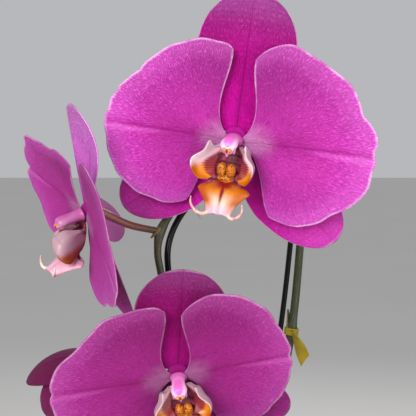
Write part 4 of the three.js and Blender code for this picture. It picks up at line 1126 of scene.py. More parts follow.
@dataclass
class Bloom:
    """One open or opening bloom, in its own frame: +X to its right, +Y to its top sepal, +Z forward.

    A pair of values is for its left and its right, as seen from the front, and angles are in degrees.
    Petals, top and sides say which way petals and sepals point, upper and lower how wide a petal spreads
    on both sides of its midvein, and slope how its outline leans. Rims are the swells and notches of its
    outline: place, width and height. Cup brings the petals forward, hood bellies the top sepal, swept
    folds the side sepals back, and closed shuts the whole bloom. Gather draws the lip together, lobes
    spreads its side lobes, and droop lowers its middle lobe. Node, bow and lead set the stalk's root and
    course. Deep is painted shade: how far the whole bloom is darkened for lying in less light. Lit gives
    its top sepal the copy of its material with painted light.
    """

    name: str
    centre: Numbers
    faces: Numbers
    roll: float
    node: float
    size: float = 1.0
    lip_size: float = 1.0
    petals: Numbers = (0, 0)
    petal_size: Numbers = (1, 1)
    slope: Numbers = (0, 0)
    upper: Numbers = (80, 80)
    lower: Numbers = (68, 68)
    rims: Sequence[Sequence[Numbers]] = ((), ())
    top: float = 90.0
    top_size: float = 1.0
    top_width: float = 1.0
    hood: float = 0.0
    sides: Numbers = (40, 40)
    side_size: Numbers = (1, 1)
    swept: Numbers = (0, 0)
    cup: Numbers = (0, 0)
    closed: float = 0.0
    gather: float = 0.0
    lobes: Numbers = (1, 1)
    lip_turn: float = 0.0
    droop: float = 40.0
    bow: float = 0.0
    lead: float = 0.16
    deep: float = 0.0
    lit: bool = False

    def placed(self, solid: Solid, size: float, turn: float = 0.0) -> Solid:
        """A solid scaled, turned and moved to the bloom's place, so that it meets the hub's face.

        Args:
            solid: The solid in its own frame.
            size: Its size against a full one.
            turn: How far it turns to the bloom's right, in degrees.

        Returns:
            The solid in the model's frame.
        """
        c, s = cos_sin(turn)
        swung = solid.points @ np.array([[c, 0, -s], [0, 1, 0], [s, 0, c]])
        local = swung * size + (0, 0, HUB_FRONT * (self.size - size))
        world = local @ facing(self.faces, self.roll).T + np.array(self.centre, float)
        return Solid(world, solid.quads, solid.surface, solid.marks)

    def tepal(self, solid: Solid) -> Solid:
        """Petals or sepals at the bloom's place, with the mark deep for this bloom's painted shade."""
        return self.placed(solid.marked(deep=self.deep), self.size)

    def bent(self, radius: Array, angle: Array, height: Array) -> Array:
        """Bends points of the flat bloom forward round an arc.

        A full petal length turns by the angle closed, and layers stay as far apart as they were.

        Args:
            radius: How far they lie from the middle.
            angle: Their direction from it, in radians.
            height: How far in front of it they lie.

        Returns:
            The points.
        """
        if not self.closed:
            return polar(radius, angle, height)
        arc = PETAL_REACH / math.radians(self.closed)
        turn = radius / arc
        return polar((arc - height) * np.sin(turn), angle, arc - (arc - height) * np.cos(turn))

    def petal(self, side: Side) -> Solid:
        """A petal: a fan from its claw whose outline falls off from the midvein to both lobes.

        The rim rolls back and waves, the midvein is a crease that ends in a small notch, and low ribs
        run out from the claw.

        Args:
            side: The side on which it lies.

        Returns:
            The petal in the bloom's frame.
        """
        u, w = grid(72, 84)
        v = 0.5 * (2 * w - 1) + 0.5 * np.sin((2 * w - 1) * np.pi / 2)
        t, which = np.abs(v), side.place
        upper = 1 - (0.16 + self.slope[which]) * t - 0.23 * t**8
        lower = 1 - (0.22 - self.slope[which]) * t - 0.17 * t**6
        outline = np.where(v > 0, upper, lower) - 0.012 * hill(v, 0.03)
        swells = (add * hill(v - at, wide) for at, wide, add in self.rims[which])
        outline = outline + sum(swells)
        uneven = 0.006 * np.sin(17 * v + side.value) + 0.004 * np.sin(31 * v + 2)
        share = mix(PETAL_CLAW, 1, u)
        radius = PETAL_REACH * self.petal_size[which] * (outline + uneven * u**4) * share
        span = np.radians(np.where(v > 0, self.upper[which], self.lower[which]))
        angle = math.radians(self.petals[which]) + v * span * (1 - 0.8 * (1 - share) ** 2)
        forward = math.tan(math.radians(self.cup[which])) * radius**2 / (radius + 12)
        roll_back = 2.2 * share**3 * t**2
        wave = 0.7 * share**3 * np.sin(5 * v + side.value) + 0.3 * share**6 * np.sin(14 * v + 3)
        ribs = 0.1 * share * np.cos(36 * v) * (1 - share**6)
        crease = 0.75 * hill(v, 0.04) * share * (1 - 0.6 * share**3)
        points = self.bent(radius, angle, PETAL_LAYER + forward - roll_back + wave + ribs - crease)
        points[..., 0] *= side.value
        thick = TEPAL_THICKNESS * (1 - 0.55 * u**10) * (1 - 0.5 * (2 * w - 1) ** 12)
        return blade(points, thick, side.value)

    def sepal(
        self, form: SepalForm, direction: float, size: float, width: float = 1.0, hood: float = 0.0,
        swept: float = 0.0,
    ) -> Solid:
        """A sepal, which lies behind the petals, curves back and is a shallow gutter with a keel.

        Args:
            form: Its outline.
            direction: The way it points, in degrees from the bloom's right.
            size: Its size against a full one.
            width: Its width against a full one of that size.
            hood: How far its middle bellies back and, a little less, its tip comes forward again.
            swept: How far it folds back at its root, in degrees.

        Returns:
            The sepal in the bloom's frame.
        """
        u, v = grid(56, 40)
        w = 2 * v - 1
        q = np.maximum(u - form.widest, 0) / (1 - form.widest)
        rise = np.sin(np.pi / 2 * np.minimum(u / form.widest, 1)) ** form.swell
        swelling = w * mix(form.base_half, form.half_width, rise)
        closing = w * form.half_width * np.sqrt(1 - q**2 * (1 - form.blunt**2))
        across = width * np.where(u <= form.widest, swelling, closing)
        reach = form.widest + (1 - form.widest) * q * np.sqrt(1 - (form.blunt * w) ** 2)
        along = form.length * np.where(u <= form.widest, u, reach) + 3
        backward = -0.045 * along - 0.0009 * along**2
        gutter = 1.5 * (across / form.half_width) ** 2 - 0.5 * hill(w, 0.06) * (1 - u**4)
        wave = 0.35 * u**2 * w**2 * np.sin(7 * u + 3 * w)
        place = along / form.length
        lift = 0.7 * place**4 - 0.8 * np.sin(np.pi * np.minimum(place, 1) ** 1.5)
        forward = hood * (lift + 0.3 * w**2 * np.sin(np.pi * u))
        kept, sunk = cos_sin(swept)
        out = along * kept
        points = self.bent(
            np.hypot(out, across) * size,
            math.radians(direction) - np.arctan2(across, out),
            SEPAL_LAYER + backward + gutter + wave + forward - along * sunk * size,
        )
        return blade(points, TEPAL_THICKNESS * (1 - 0.5 * u**10) * (1 - 0.45 * w**10), -1)

    def column(self) -> Solid:
        """The column: a short arm with a rounded back, spreading wings and a capped tip.

        A ring is an oval whose underside is hollowed towards the tip. The mark face is 1 along the
        middle of its back, cap tells how much of the cap's buff the small parts at its tip take, and
        notch is 1 on the notch between them.

        Returns:
            The column in the bloom's frame.
        """
        stations = (0, 0.06, 0.14, 0.26, 0.4, 0.54, 0.66, 0.76, 0.85, 0.92, 0.96, 0.985, 1)
        share = np.array(stations)[:, None]
        places = (0, 0.06, 0.14, 0.5, 0.76, 0.92, 0.985, 1)
        full = np.interp(share, places, (1.3, 1.1, 1, 0.96, 1.08, 1, 0.66, 0.3))
        angle = circle(44)
        low = hill(angle - 1.5 * np.pi, 0.6)
        hollow = 0.35 * np.interp(share, [0.3, 0.8, 1], [0, 1, 0.3]) * low
        wing = 1 + 0.12 * np.interp(share, [0.4, 0.75, 1], [0, 1, 0]) * np.abs(np.cos(angle)) ** 6
        x = COLUMN_HALF_WIDE * full * wing * np.cos(angle)
        y = COLUMN_HALF_THICK * 1.05 * full * np.sin(angle) * (1 - hollow)
        y = y + COLUMN_LIFT + (0.9 - 1.2 * self.gather) * np.sin(np.pi * share) - 0.9 * share**3
        z = HUB_FRONT + CLEARANCE + COLUMN_LENGTH * share - 0.5 * (1 - full) * np.sin(angle)
        arm = skin(points_of(x, y, z))
        faced = hill(share - 0.75, 0.4, 6) * hill(angle - np.pi / 2, 0.8, 4)
        pole = np.zeros(len(angle))
        arm.marks["face"] = np.concatenate([pole, faced.ravel(), pole])
        tip = HUB_FRONT + CLEARANCE + COLUMN_LENGTH
        foot = COLUMN_LIFT - 1.5
        parts = [arm, egg((0, foot - 0.3, tip - 1.3), (2.3, 1.5, 1.5)).marked(cap=0.35)]
        for side in Side:
            cheek = egg((side.value * 1.0, foot + 0.1, tip - 0.2), (0.95, 0.85, 0.85), 12, 16)
            flange = egg((side.value * 2.5, foot + 0.2, tip - 1.6), (0.5, 1.7, 1.1), 10, 14)
            parts += [cheek.marked(cap=1), flange.marked(cap=0.1)]
        parts.append(egg((0, foot - 1.4, tip - 0.9), (0.55, 1.3, 0.6), 10, 14).marked(cap=0.2))
        parts.append(egg((0, foot - 0.2, tip + 0.25), (0.36, 0.8, 0.45), 8, 12).marked(notch=1))
        return together(parts)

    def side_lobe(self, side: Side) -> Solid:
        """An ear of the lip, cupped round the column.

        It is ruled between its root and its rim, both smooth lines, with a bulge outward that is a half
        wave between them. A gathered lip has the rims drawn in towards each other. The mark rise goes
        from 0 to 1 with height.

        Args:
            side: The side on which it stands.

        Returns:
            The lobe in the bloom's frame.
        """
        s, r = grid(40, 30)
        spread = self.lobes[side.place]
        root = Path(LOBE_ROOT).at(s) - self.gather * points_of(0, 3.6 - 2.6 * s**4, s)
        swing = 6 * spread * np.sin(np.pi * s**0.7)
        low = 3.6 - 1.5 * s - 0.9 * np.sin(np.pi * s**0.4)
        filled = 2.4 * hill(s - 0.12, 0.075) - 1.5 * hill(s - 0.27, 0.06)
        filled = filled + hill(s - 0.4, 0.1) - 0.3 + 2 * s**4
        rim = Path(LOBE_RIM).at(s) - self.gather * points_of(0, low - filled, -swing)
        rim[..., 0] *= (1 - 0.8 * self.gather * np.sin(np.pi * s)) * spread
        frill = 0.3 * r**3 * np.sin(14 * s)
        points = mix(root, rim, r[..., None])
        bulge = LOBE_BULGE * (1 + 1.2 * self.gather) * np.sin(np.pi * r) * np.sin(np.pi * (0.12 + 0.8 * s))
        points[..., 0] += (bulge + frill) * spread
        points[..., 2] += 0.25 * frill - (0.5 - 1.7 * self.gather) * bulge
        rise = np.clip((points[..., 1] + 0.6 * self.gather + 15) / 16, 0, 1)
        points[..., 0] *= side.value
        solid = blade(points, LIP_THICKNESS * (1 - 0.5 * r**8), side.value)
        solid.marks["rise"] = np.tile(rise.ravel(), 2)
        return solid

    def middle_lobe_points(self, u: Array, v: Array) -> Array:
        """The middle lobe's surface: an arrowhead that hangs forward, creased along its middle.

        Args:
            u: Shares of its length, from root to tip.
            v: Shares of its width, from edge to edge.

        Returns:
            The points in the bloom's frame.
        """
        foot, low = 9.6 - 1.5 * self.gather, MIDDLE_LOBE_FOOT - 0.6 * self.gather
        places = np.linspace(0, 1, len(MIDDLE_LOBE_HALVES))
        fine = np.linspace(0, 1, 121)
        eased = np.interp(fine, places, MIDDLE_LOBE_HALVES)
        reach = 9
        window = np.hanning(2 * reach + 1)
        eased = np.convolve(np.pad(eased, reach, mode="edge"), window / window.sum(), mode="valid")
        half = np.interp(u, fine, eased)
        w = 2 * v - 1
        bend = math.radians(self.droop) * (0.55 + 0.45 * u)
        along = MIDDLE_LOBE_LENGTH * u
        swept = -1.8 * w**2 * np.sin(np.pi * np.minimum(1, u * 1.4))
        crown = 1.5 - 2.4 * w**2 - 0.8 * hill(w, 0.16) + 0.15 * np.sin(9 * w + 4 * u) * u
        return points_of(
            half * w,
            low - along * np.sin(bend) + (crown - 1) * np.cos(bend) - swept * np.sin(bend),
            foot + along * np.cos(bend) + (crown - 1) * np.sin(bend) + swept * np.cos(bend),
        )

    def middle_lobe(self) -> Solid:
        """The middle lobe as a blade that thins to its edge."""
        u, v = grid(48, 36)
        return blade(self.middle_lobe_points(u, v), LIP_THICKNESS * (1 - 0.5 * (2 * v - 1) ** 10))

    def throat(self) -> Solid:
        """The lip's claw and throat: a trough between the roots of the side lobes.

        Returns:
            The throat in the bloom's frame.
        """
        u, v = grid(40, 24)
        w = 2 * v - 1
        root = Path((*LOBE_ROOT, (6.4, -15.4, 11.0))).at(u)
        root = root - self.gather * points_of(0, 3.6 * u - 2.8 * u**4, 1.5 * u)
        dip = (1 - w**2) * (0.6 + 1.6 * np.sin(np.pi * (0.1 + 0.75 * u)))
        return blade(points_of(w * (root[..., 0] + 0.7), root[..., 1], root[..., 2] - dip), 0.9)

    def callus(self) -> Solid:
        """The callus: a warty double knob split by a groove, on a low foot that meets the middle lobe.

        Returns:
            The callus in the bloom's frame.
        """
        across, low, out = CALLUS[0], CALLUS[1] - 3.6 * self.gather, CALLUS[2] - self.gather
        knobs = [egg((0, low - 3.4, out - 0.9), (3.4, 2.2, 1.3), 16, 24)]
        for side in Side:
            middle = np.array((side.value * across, low, out))
            knob = egg(middle, (1.85, 2.8, 2.2), 26, 30)
            swell = 1 + 0.07 * ripple((knob.points - middle) * 2.4, side.value)
            knob.points = middle + (knob.points - middle) * swell[:, None]
            knobs.append(knob)
        return together(knobs)

    def tendrils(self) -> Solid:
        """The two whiskers at the middle lobe's tip, which curl up and back.

        Returns:
            Both in the bloom's frame.
        """
        c, s = cos_sin(self.droop)
        up, forward = np.array((0, c, s)), np.array((0, -s, c))
        moves = ((0, 0, 0), (1.6, 0.6, 1.4), (4.2, 2.6, 1.6), (6, 5.6, 0.2), (6, 8.4, -1.4))
        reach = 1 - 0.5 * self.gather
        whiskers = []
        for side in Side:
            root = self.middle_lobe_points(np.array(0.94), np.array(0.5 + side.value * 0.4))
            steps = [np.array((side.value * a, 0, 0)) + b * up + c * forward for a, b, c in moves]
            route = [root + reach * step for step in steps]
            whiskers.append(tube(Path(route), lambda s: 0.72 - 0.5 * s**1.4, 40, 12, (0, 0, 1)))
        return together(whiskers)

    def build(self, looks: "BloomLooks") -> None:
        """Makes the bloom's pieces and dresses each.

        Args:
            looks: The materials that all blooms share.
        """
        node = f"{self.name}_tepals"
        petals = together([self.petal(side) for side in Side])
        add_piece(f"{self.name}_petals", self.tepal(petals), looks.petal, "petal", node)
        hub_half = (HUB_FRONT - HUB_BACK) / 2
        hub = egg((0, 0, HUB_FRONT - hub_half), (HUB_RADIUS, HUB_RADIUS, hub_half)).marked(front=1)
        top = self.sepal(TOP_SEPAL, self.top, self.top_size, self.top_width, self.hood)
        # A lit top sepal takes the copy of its finish with painted light, and no painted shade.
        look, deep = (looks.lit_sepal, 0.0) if self.lit else (looks.top_sepal, self.deep)
        top = self.placed(top.marked(deep=deep), self.size)
        add_piece(f"{self.name}_top_sepal", top, look, "petal", node)
        low = together([
            hub,
            self.sepal(SIDE_SEPAL, 180 + self.sides[0], self.side_size[0], swept=self.swept[0]),
            self.sepal(SIDE_SEPAL, -self.sides[1], self.side_size[1], swept=self.swept[1]),
        ])
        add_piece(f"{self.name}_side_sepals", self.tepal(low), looks.side_sepal, "petal", node)
        arm = self.placed(self.column().marked(dim=self.gather), self.lip_size, self.lip_turn)
        add_piece(f"{self.name}_gynostem", arm, looks.column, "column", f"{self.name}_column")
        lobes = together([self.side_lobe(side) for side in Side])
        parts = (
            ("side_lobes", lobes, looks.side_lobe),
            ("middle_lobe", self.middle_lobe().marked(pale=self.gather), looks.middle_lobe),
            ("throat", self.throat(), looks.throat),
            ("callus", self.callus(), looks.callus),
            ("tendrils", self.tendrils(), looks.tendril),
        )
        for label, solid, material in parts:
            add_piece(f"{self.name}_{label}", self.placed(solid, self.lip_size, self.lip_turn), material,
                      "lip", f"{self.name}_lip")


@dataclass
class BloomLooks:
    """The materials that all blooms share."""

    petal: Material
    top_sepal: Material
    lit_sepal: Material
    side_sepal: Material
    side_lobe: Material
    middle_lobe: Material
    throat: Material
    callus: Material
    tendril: Material
    column: Material

    @classmethod
    def made(cls) -> "BloomLooks":
        """Builds every material once.

        Returns:
            The materials.
        """
        dull = (166, 54, 138)
        return cls(
            petal=TepalFinish("petal", (198, 54, 168), (208, 60, 178), (210, 68, 192), dull,
                              halo=0.55, ridge=0.42).material(),
            top_sepal=TepalFinish("top_sepal", (226, 4, 172), (202, 2, 150), (128, 40, 114),
                                  dull, vein=(140, 0, 104), shade=(138, 8, 108),
                                  shaded=0.0).material(),
            # The top sepal's copy with painted light: paler and brighter all over, for a top sepal in full
            # light.
            lit_sepal=TepalFinish("lit_sepal", (220, 88, 220), (246, 136, 246), (252, 160, 252),
                                  (216, 98, 206), shaded=0.0).material(),
            # The side sepals' back is their own paler pink, brightened further with painted light where it
            # faces away from the lamps.
            side_sepal=TepalFinish("side_sepal", (156, 0, 106), (224, 26, 178), (250, 80, 214),
                                   (246, 112, 212), rim=(240, 84, 210), shaded=0.0).material(),
            side_lobe=SideLobeFinish().material(),
            middle_lobe=MiddleLobeFinish().material(),
            throat=SpeckledFinish("lip_throat", (96, 20, 52), (150, 60, 90), (84, 4, 18), 900.0,
                                  30.0).material(),
            callus=SpeckledFinish("lip_callus", (178, 92, 16), (208, 128, 34), (96, 26, 10),
                                  2000.0).material(),
            tendril=SpeckledFinish("lip_tendril", (244, 214, 198), (232, 182, 168),
                                   (220, 146, 156), 500.0).material(),
            column=ColumnFinish().material(),
        )


# Deep is each bloom's painted shade, and lit gives bloom_2's top sepal painted light.
BLOOMS = (
    Bloom("bloom_1", (-24.4, -98, 547.2), (-0.13, -0.965, -0.21), 8.2, 0.683, petals=(2, 2.5),
          petal_size=(0.99, 1.06), lower=(60.5, 62), top_size=0.95, side_size=(1, 1.05), cup=(4, 4),
          lobes=(1.04, 0.84), lip_turn=-6, droop=50, bow=2,
          rims=(((-0.38, 0.2, 0.06), (0.02, 0.2, 0.04), (0.07, 0.02, -0.022), (0.5, 0.2, -0.022),
                 (1.02, 0.1, 0.1), (0.17, 0.02, -0.02), (0.36, 0.03, -0.018)),
                ((-0.25, 0.22, 0.068), (0.1, 0.07, 0.035), (0.22, 0.03, -0.02), (0.02, 0.02, -0.02),
                 (0.65, 0.22, -0.045)))),
    Bloom("bloom_2", (-82.2, -92, 518.5), (-0.855, -0.436, -0.28), 14, 0.772, size=0.85, lip_size=0.95,
          petals=(16, -19), petal_size=(1.03, 1.05), upper=(58, 85), top_size=0.89, top_width=0.78,
          hood=5, sides=(37, 75), side_size=(0.87, 1), swept=(30, 0), cup=(10, 13),
          gather=0.85, lobes=(0.2, 1.1), droop=15, bow=-1.5, lead=0.03, deep=0.35, lit=True,
          rims=(((0.4, 0.07, 0.06), (0.66, 0.2, -0.12), (0.95, 0.3, -0.16), (0.0, 0.04, -0.06),
                 (-0.35, 0.25, -0.07), (-0.9, 0.4, -0.12)),
                ((-0.5, 0.2, -0.06),))),
    Bloom("bloom_3", (-46.3, -101, 456.5), (0.06, -0.91, -0.42), -12, 0.826, size=0.93, lip_size=0.93,
          petals=(5.5, 4.5), petal_size=(1.1, 0.97), slope=(0.1, 0), upper=(86, 72), top=76,
          top_size=0.8, top_width=1.2, cup=(5, 5), gather=0.15, deep=0.5,
          rims=(((0.4, 0.26, -0.095), (1.02, 0.16, 0.1), (0.84, 0.2, -0.06), (0.0, 0.03, -0.02)),
                ((0.5, 0.32, 0.085), (-0.01, 0.04, -0.03)))),
    Bloom("bloom_4", (-74.4, -52, 446.3), (-0.75, 0.3, -0.55), 35, 0.868, size=0.84, lip_size=0.62,
          petal_size=(1.12, 1.12), side_size=(1.12, 1.12), top_size=0.82, closed=125, droop=0, bow=2,
          deep=1),
    Bloom("bloom_5", (-22, -94, 385), (0.3, -0.86, -0.4), 6, 0.908, size=0.86, lip_size=0.88,
          petals=(3, 3), cup=(10, 10), closed=12, droop=30, deep=0.5),
)


@dataclass
class Bud:
    """One closed bud on its short stalk."""

    name: str
    node: float
    tip: Numbers
    length: float
    radius: float

    def direction(self, spike: Path) -> Array:
        """The way the bud points, from its stalk's root on the spike to its tip."""
        return unit(np.array(self.tip, float) - spike.at(min(self.node, LAST_STALK)))

    def solid(self, spike: Path) -> Solid:
        """An egg with a blunt point and three seams where the closed sepals meet.

        Args:
            spike: The spike's middle line.

        Returns:
            The bud.
        """
        direction = self.direction(spike)
        right = unit(np.cross((0, 0, 1), direction))
        up = np.cross(direction, right)
        share = np.linspace(0.015, 0.985, 40)[:, None]
        angle = circle(60)
        seam = 1 - 0.07 * hill(np.sin(1.5 * angle), 0.16) * np.sin(np.pi * share) ** 0.5
        keel = 1 + 0.03 * np.cos(3 * angle + np.pi) * share
        radius = self.radius * seam * keel * np.sin(np.pi * share**0.85) ** 0.62
        spine = np.array(self.tip, float) + direction * (self.length * (share[..., None] - 1))
        sideways, upward = radius * np.cos(angle), radius * np.sin(angle)
        return skin(spine + right * sideways[..., None] + up * upward[..., None])

    def build(self, spike: Path, material: Material) -> None:
        """Makes the bud."""
        add_piece(f"{self.name}_closed", self.solid(spike), material, "bud", self.name)


BUDS = (
    Bud("bud_1", node=0.942, tip=(-62, -72, 368), length=21, radius=7.6),
    Bud("bud_2", node=0.97, tip=(-20, -70, 352), length=16, radius=5.8),
    Bud("bud_3", node=1.0, tip=(-38, -58, 329), length=11.5, radius=4.1),
)


@dataclass
class FlowerSpike:
    """The arching spike with its flower stalks and bracts, the wire beside it and the tag round it."""

    base_radius: float = 2.7
    middle_radius: float = 1.9
    tip_radius: float = 1.1
    swelling: float = 0.6
    line: Path = field(default_factory=lambda: Path(SPIKE_ROUTE))
    wire: Path = field(default_factory=lambda: Path(WIRE_ROUTE))

    def radius(self, share: Array) -> Array:
        """The spike's radius: two even tapers, with a swelling at each node.

        Args:
            share: Shares of the spike's length.

        Returns:
            The radius at each of them.
        """
        thick = np.interp(share, [0, 0.55, 1], [self.base_radius, self.middle_radius, self.tip_radius])
        nodes = [bloom.node for bloom in BLOOMS] + [bud.node for bud in BUDS] + list(STEM_NODES)
        swell = sum(hill(share - node, 0.006) for node in nodes)
        return thick + self.swelling * np.minimum(swell, 1)

    def stalk(
        self, node: float, end: Array, heading: Array, start: float, stop: float, bow: float,
        lead: float = 0.16,
    ) -> Solid:
        """A flower stalk: from the spike to the end point, which it reaches along its heading.

        Its section is a soft six-sided round that twists along it.

        Args:
            node: The share of the spike at which it leaves.
            end: The point that it reaches.
            heading: Its direction there.
            start: Its radius at the spike.
            stop: Its radius at the end.
            bow: How far its middle stands above a straight line.
            lead: The share of its reach over which it runs along the heading.

        Returns:
            The stalk, with the mark flush for how reddish it is.
        """
        root = self.line.at(min(node, LAST_STALK))
        approach = end - heading * lead * np.linalg.norm(end - root)
        middle = (root + approach) / 2 + np.array((0, 0, bow))
        path = Path([root, middle, approach, end])
        steps, sides = 48, 20
        turn = circle(sides)
        ridge = 1 + 0.035 * np.cos(6 * turn[None, :] + 4 * np.linspace(0, 1, steps + 1)[:, None])
        solid = tube(path, lambda s: mix(start, stop, s**2) * ridge, steps, sides, (0.2, 0.1, 1))
        solid.marks["flush"] = 0.35 + 0.65 * np.minimum(1, 1.6 * solid.surface[:, 0])
        return solid

    def bract(self, node: float, length: float, reach: Numbers) -> Solid:
        """A small boat-shaped scale that clasps the stem at a node and narrows to a point.

        Args:
            node: The share of the spike at which it sits.
            length: Its length.
            reach: The way that it stands off the spike.

        Returns:
            The bract, with the mark scale at 1.
        """
        centre, along = self.line.at(node), self.line.along(node)
        toward = np.array(reach, float)
        out = unit(toward - along * (toward @ along))
        across = np.cross(along, out)
        u, v = grid(16, 12)
        angle = (v - 0.5) * 2.4 * (1 - 0.86 * u**1.4)
        stand = self.radius(np.array(node)) - 0.1 + 0.9 * u**1.5
        points = (
            centre
            + along * (-1 + length * u)[..., None]
            + out * (stand * np.cos(angle))[..., None]
            + across * (stand * np.sin(angle))[..., None]
        )
        return blade(points, 0.45).marked(scale=1)

    def spike(self) -> Solid:
        """The spike, its stalks and its bracts as one mesh.

        Returns:
            The mesh.
        """
        stem = tube(self.line, self.radius, 520, 20)
        stem.marks["flush"] = np.interp(stem.surface[:, 0], [0, 0.45, 0.75, 1], [0.1, 0.2, 0.35, 0.6])
        parts = [stem]
        for bloom in BLOOMS:
            forward = unit(np.array(bloom.faces, float))
            end = np.array(bloom.centre, float) + forward * (bloom.size * HUB_BACK - CLEARANCE)
            parts.append(self.stalk(bloom.node, end, forward, 1.45, 2 * bloom.size, bloom.bow, bloom.lead))
        for bud in BUDS:
            heading = bud.direction(self.line)
            end = np.array(bud.tip, float) - heading * (bud.length + CLEARANCE)
            parts.append(self.stalk(bud.node, end, heading, 1, 1.1, 0))
        for index, node in enumerate(STEM_NODES):
            parts.append(self.bract(node, 11, (-1 if index % 2 else 1, 0.4, 0)))
        for bloom in BLOOMS[:3]:
            parts.append(self.bract(bloom.node, 5, np.array(bloom.centre) - self.line.at(bloom.node)))
        return together(parts)

    def tag(self) -> Solid:
        """The tag: a strip looped round the spike, its ends stuck together as a hanging, twisted flag.

        Returns:
            The loop and the flag.
        """
        share = self.line.nearest(TAG_CENTRE)
        centre, along = self.line.at(share), self.line.along(share)
        inner = float(self.radius(np.array(share))) + CLEARANCE
        angle = circle(64)
        across = unit(np.cross((0, 1, 0), along))
        deep = np.cross(along, across)
        ring = across * np.cos(angle)[:, None] + deep * np.sin(angle)[:, None]
        lift = np.linspace(-0.5, 0.5, 9)[:, None, None] * TAG_LOOP * along
        loop = shell(centre + ring * (inner + 0.55) + lift, centre + ring * inner + lift, around=True)
        upright, lean = cos_sin(TAG_LEAN)
        down = unit(np.array((lean, -0.12, -upright)))
        u, v = grid(40, 14)
        side = unit(points_of(mix(0.2, 0.57, u), mix(-0.95, 0, u), mix(0.05, 0.83, u)))
        width = mix(3.6, TAG_HEIGHT, np.minimum(1, 1.6 * u))
        curl = 0.35 * np.sin(9 * u + 2) * (v - 0.5) * u
        flag = (
            centre
            + np.array((0.6, -inner - 1.9, 0))
            + down * (-1 + TAG_LENGTH * u)[..., None]
            + side * ((v - 0.5) * width)[..., None]
            + np.array((0, 1, 0)) * curl[..., None]
        )
        return together([loop, blade(flag, 0.8)])

    def build(self) -> None:
        """Makes the spike, the wire, the buds and the tag, and dresses the clips."""
        add_piece("spike_and_stalks", self.spike(), StemFinish().material(), "stem", "flower_spike")
        wire = tube(self.wire, lambda s: 0 * s + WIRE_RADIUS, 420, 20)
        add_piece("bent_wire", wire, CoatedWireFinish().material(), "wire", "support_wire")
        add_piece("looped_tag", self.tag(), TagFinish().material(), "tag", "plain_tag")
        bud_finish = BudFinish().material()
        for bud in BUDS:
            bud.build(self.line, bud_finish)
        clear = ClearFinish("clear_plastic", (200, 204, 200), 0.45).material()
        for name in ("clip_low", "clip_arch", "clip_high"):
            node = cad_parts[name]
            node.data.materials.clear()
            node.data.materials.append(clear)
            LOG.info("%s: dressed", name)


CROWN_PROFILE = ((0, 0.8 * CROWN_RADIUS), (0.25, CROWN_RADIUS), (0.6, CROWN_RADIUS), (1, CROWN_TIP))


@dataclass
class Leaf:
    """One strap leaf: it rises from the crown, arches over and droops, folded along its middle.

    Turn is its compass direction, base the height of its foot, and rise and tip are how steeply it
    climbs at its two ends. Angles are in degrees.
    """

    name: str
    turn: float
    base: float
    length: float
    width: float
    rise: float
    tip: float
    thickness: float = 2.2
    fold_at_base: float = 38.0
    fold_at_tip: float = 12.0

    def middle(self, u: Array, v: Array) -> Array:
        """The leaf's middle surface.

        The spine climbs by an angle that eases from rise to tip, the half width swells to its widest
        row and closes as half an ellipse, and both halves lift by the fold and sag a little.

        Args:
            u: Shares of its length, from base to tip.
            v: Shares of its width, from edge to edge.

        Returns:
            The points.
        """
        stations, widest, round_tip = 48, 0.6, 0.5
        share = np.arange(stations + 1) / stations
        climb = np.radians(mix(self.rise, self.tip, share**0.85))
        step = self.length / stations
        heights, radii = zip(*CROWN_PROFILE)
        level = (self.base - CROWN_FOOT) / (CROWN_TOP - CROWN_FOOT)
        start = float(np.interp(level, heights, radii)) - 0.6
        out = start + np.concatenate([[0], np.cumsum(step * np.cos(climb))[:-1]])
        up = self.base + np.concatenate([[0], np.cumsum(step * np.sin(climb))[:-1]])
        w = 2 * v - 1
        q = np.maximum(u - widest, 0) / (1 - widest)
        swelling = mix(8, self.width / 2, np.sin(np.pi / 2 * np.minimum(u / widest, 1)) ** 0.9)
        half = np.where(u <= widest, swelling, self.width / 2 * np.sqrt(1 - q**2 * (1 - round_tip**2)))
        reach = widest + (1 - widest) * q * np.sqrt(1 - (round_tip * w) ** 2)
        along = np.where(u <= widest, u, reach)
        elevation = np.interp(along, share, climb)
        fold = np.radians(mix(self.fold_at_base, self.fold_at_tip, np.minimum(1, 1.6 * u)))
        across = half * w
        lift = np.abs(across) * np.sin(fold) - 0.006 * across**2 * np.minimum(1, 2 * u)
        lift = lift - 0.9 * hill(across, 2.2) * np.minimum(1, 6 * u)
        lift = lift + 0.5 * np.sin(5 * u + 0.05 * across + self.turn) * (w**2) * u
        x = np.interp(along, share, out) - lift * np.sin(elevation)
        z = np.interp(along, share, up) + lift * np.cos(elevation)
        c, s = cos_sin(self.turn)
        y = across * np.cos(fold)
        return points_of(x * c - y * s, x * s + y * c, z)

    def build(self, material: Material) -> None:
        """Makes the leaf, which thins to its edges and thickens along its midrib.

        Args:
            material: The leaves' finish.
        """
        u, v = grid(110, 44)
        w = np.abs(2 * v - 1)
        thick = self.thickness * (0.45 + 0.55 * (1 - w**3)) * (1 - 0.45 * u**8)
        add_piece(f"{self.name}_strap", blade(self.middle(u, v), thick), material, "leaf", self.name)


LEAVES = (
    Leaf("leaf_1", turn=-22, base=112, length=246, width=84, rise=30, tip=-46),
    Leaf("leaf_2", turn=160, base=114, length=258, width=88, rise=31, tip=-44),
    Leaf("leaf_3", turn=-6, base=122, length=226, width=80, rise=50, tip=-30),
    Leaf("leaf_4", turn=174, base=125, length=214, width=77, rise=53, tip=-24),
    Leaf("leaf_5", turn=-34, base=133, length=142, width=58, rise=72, tip=8),
)


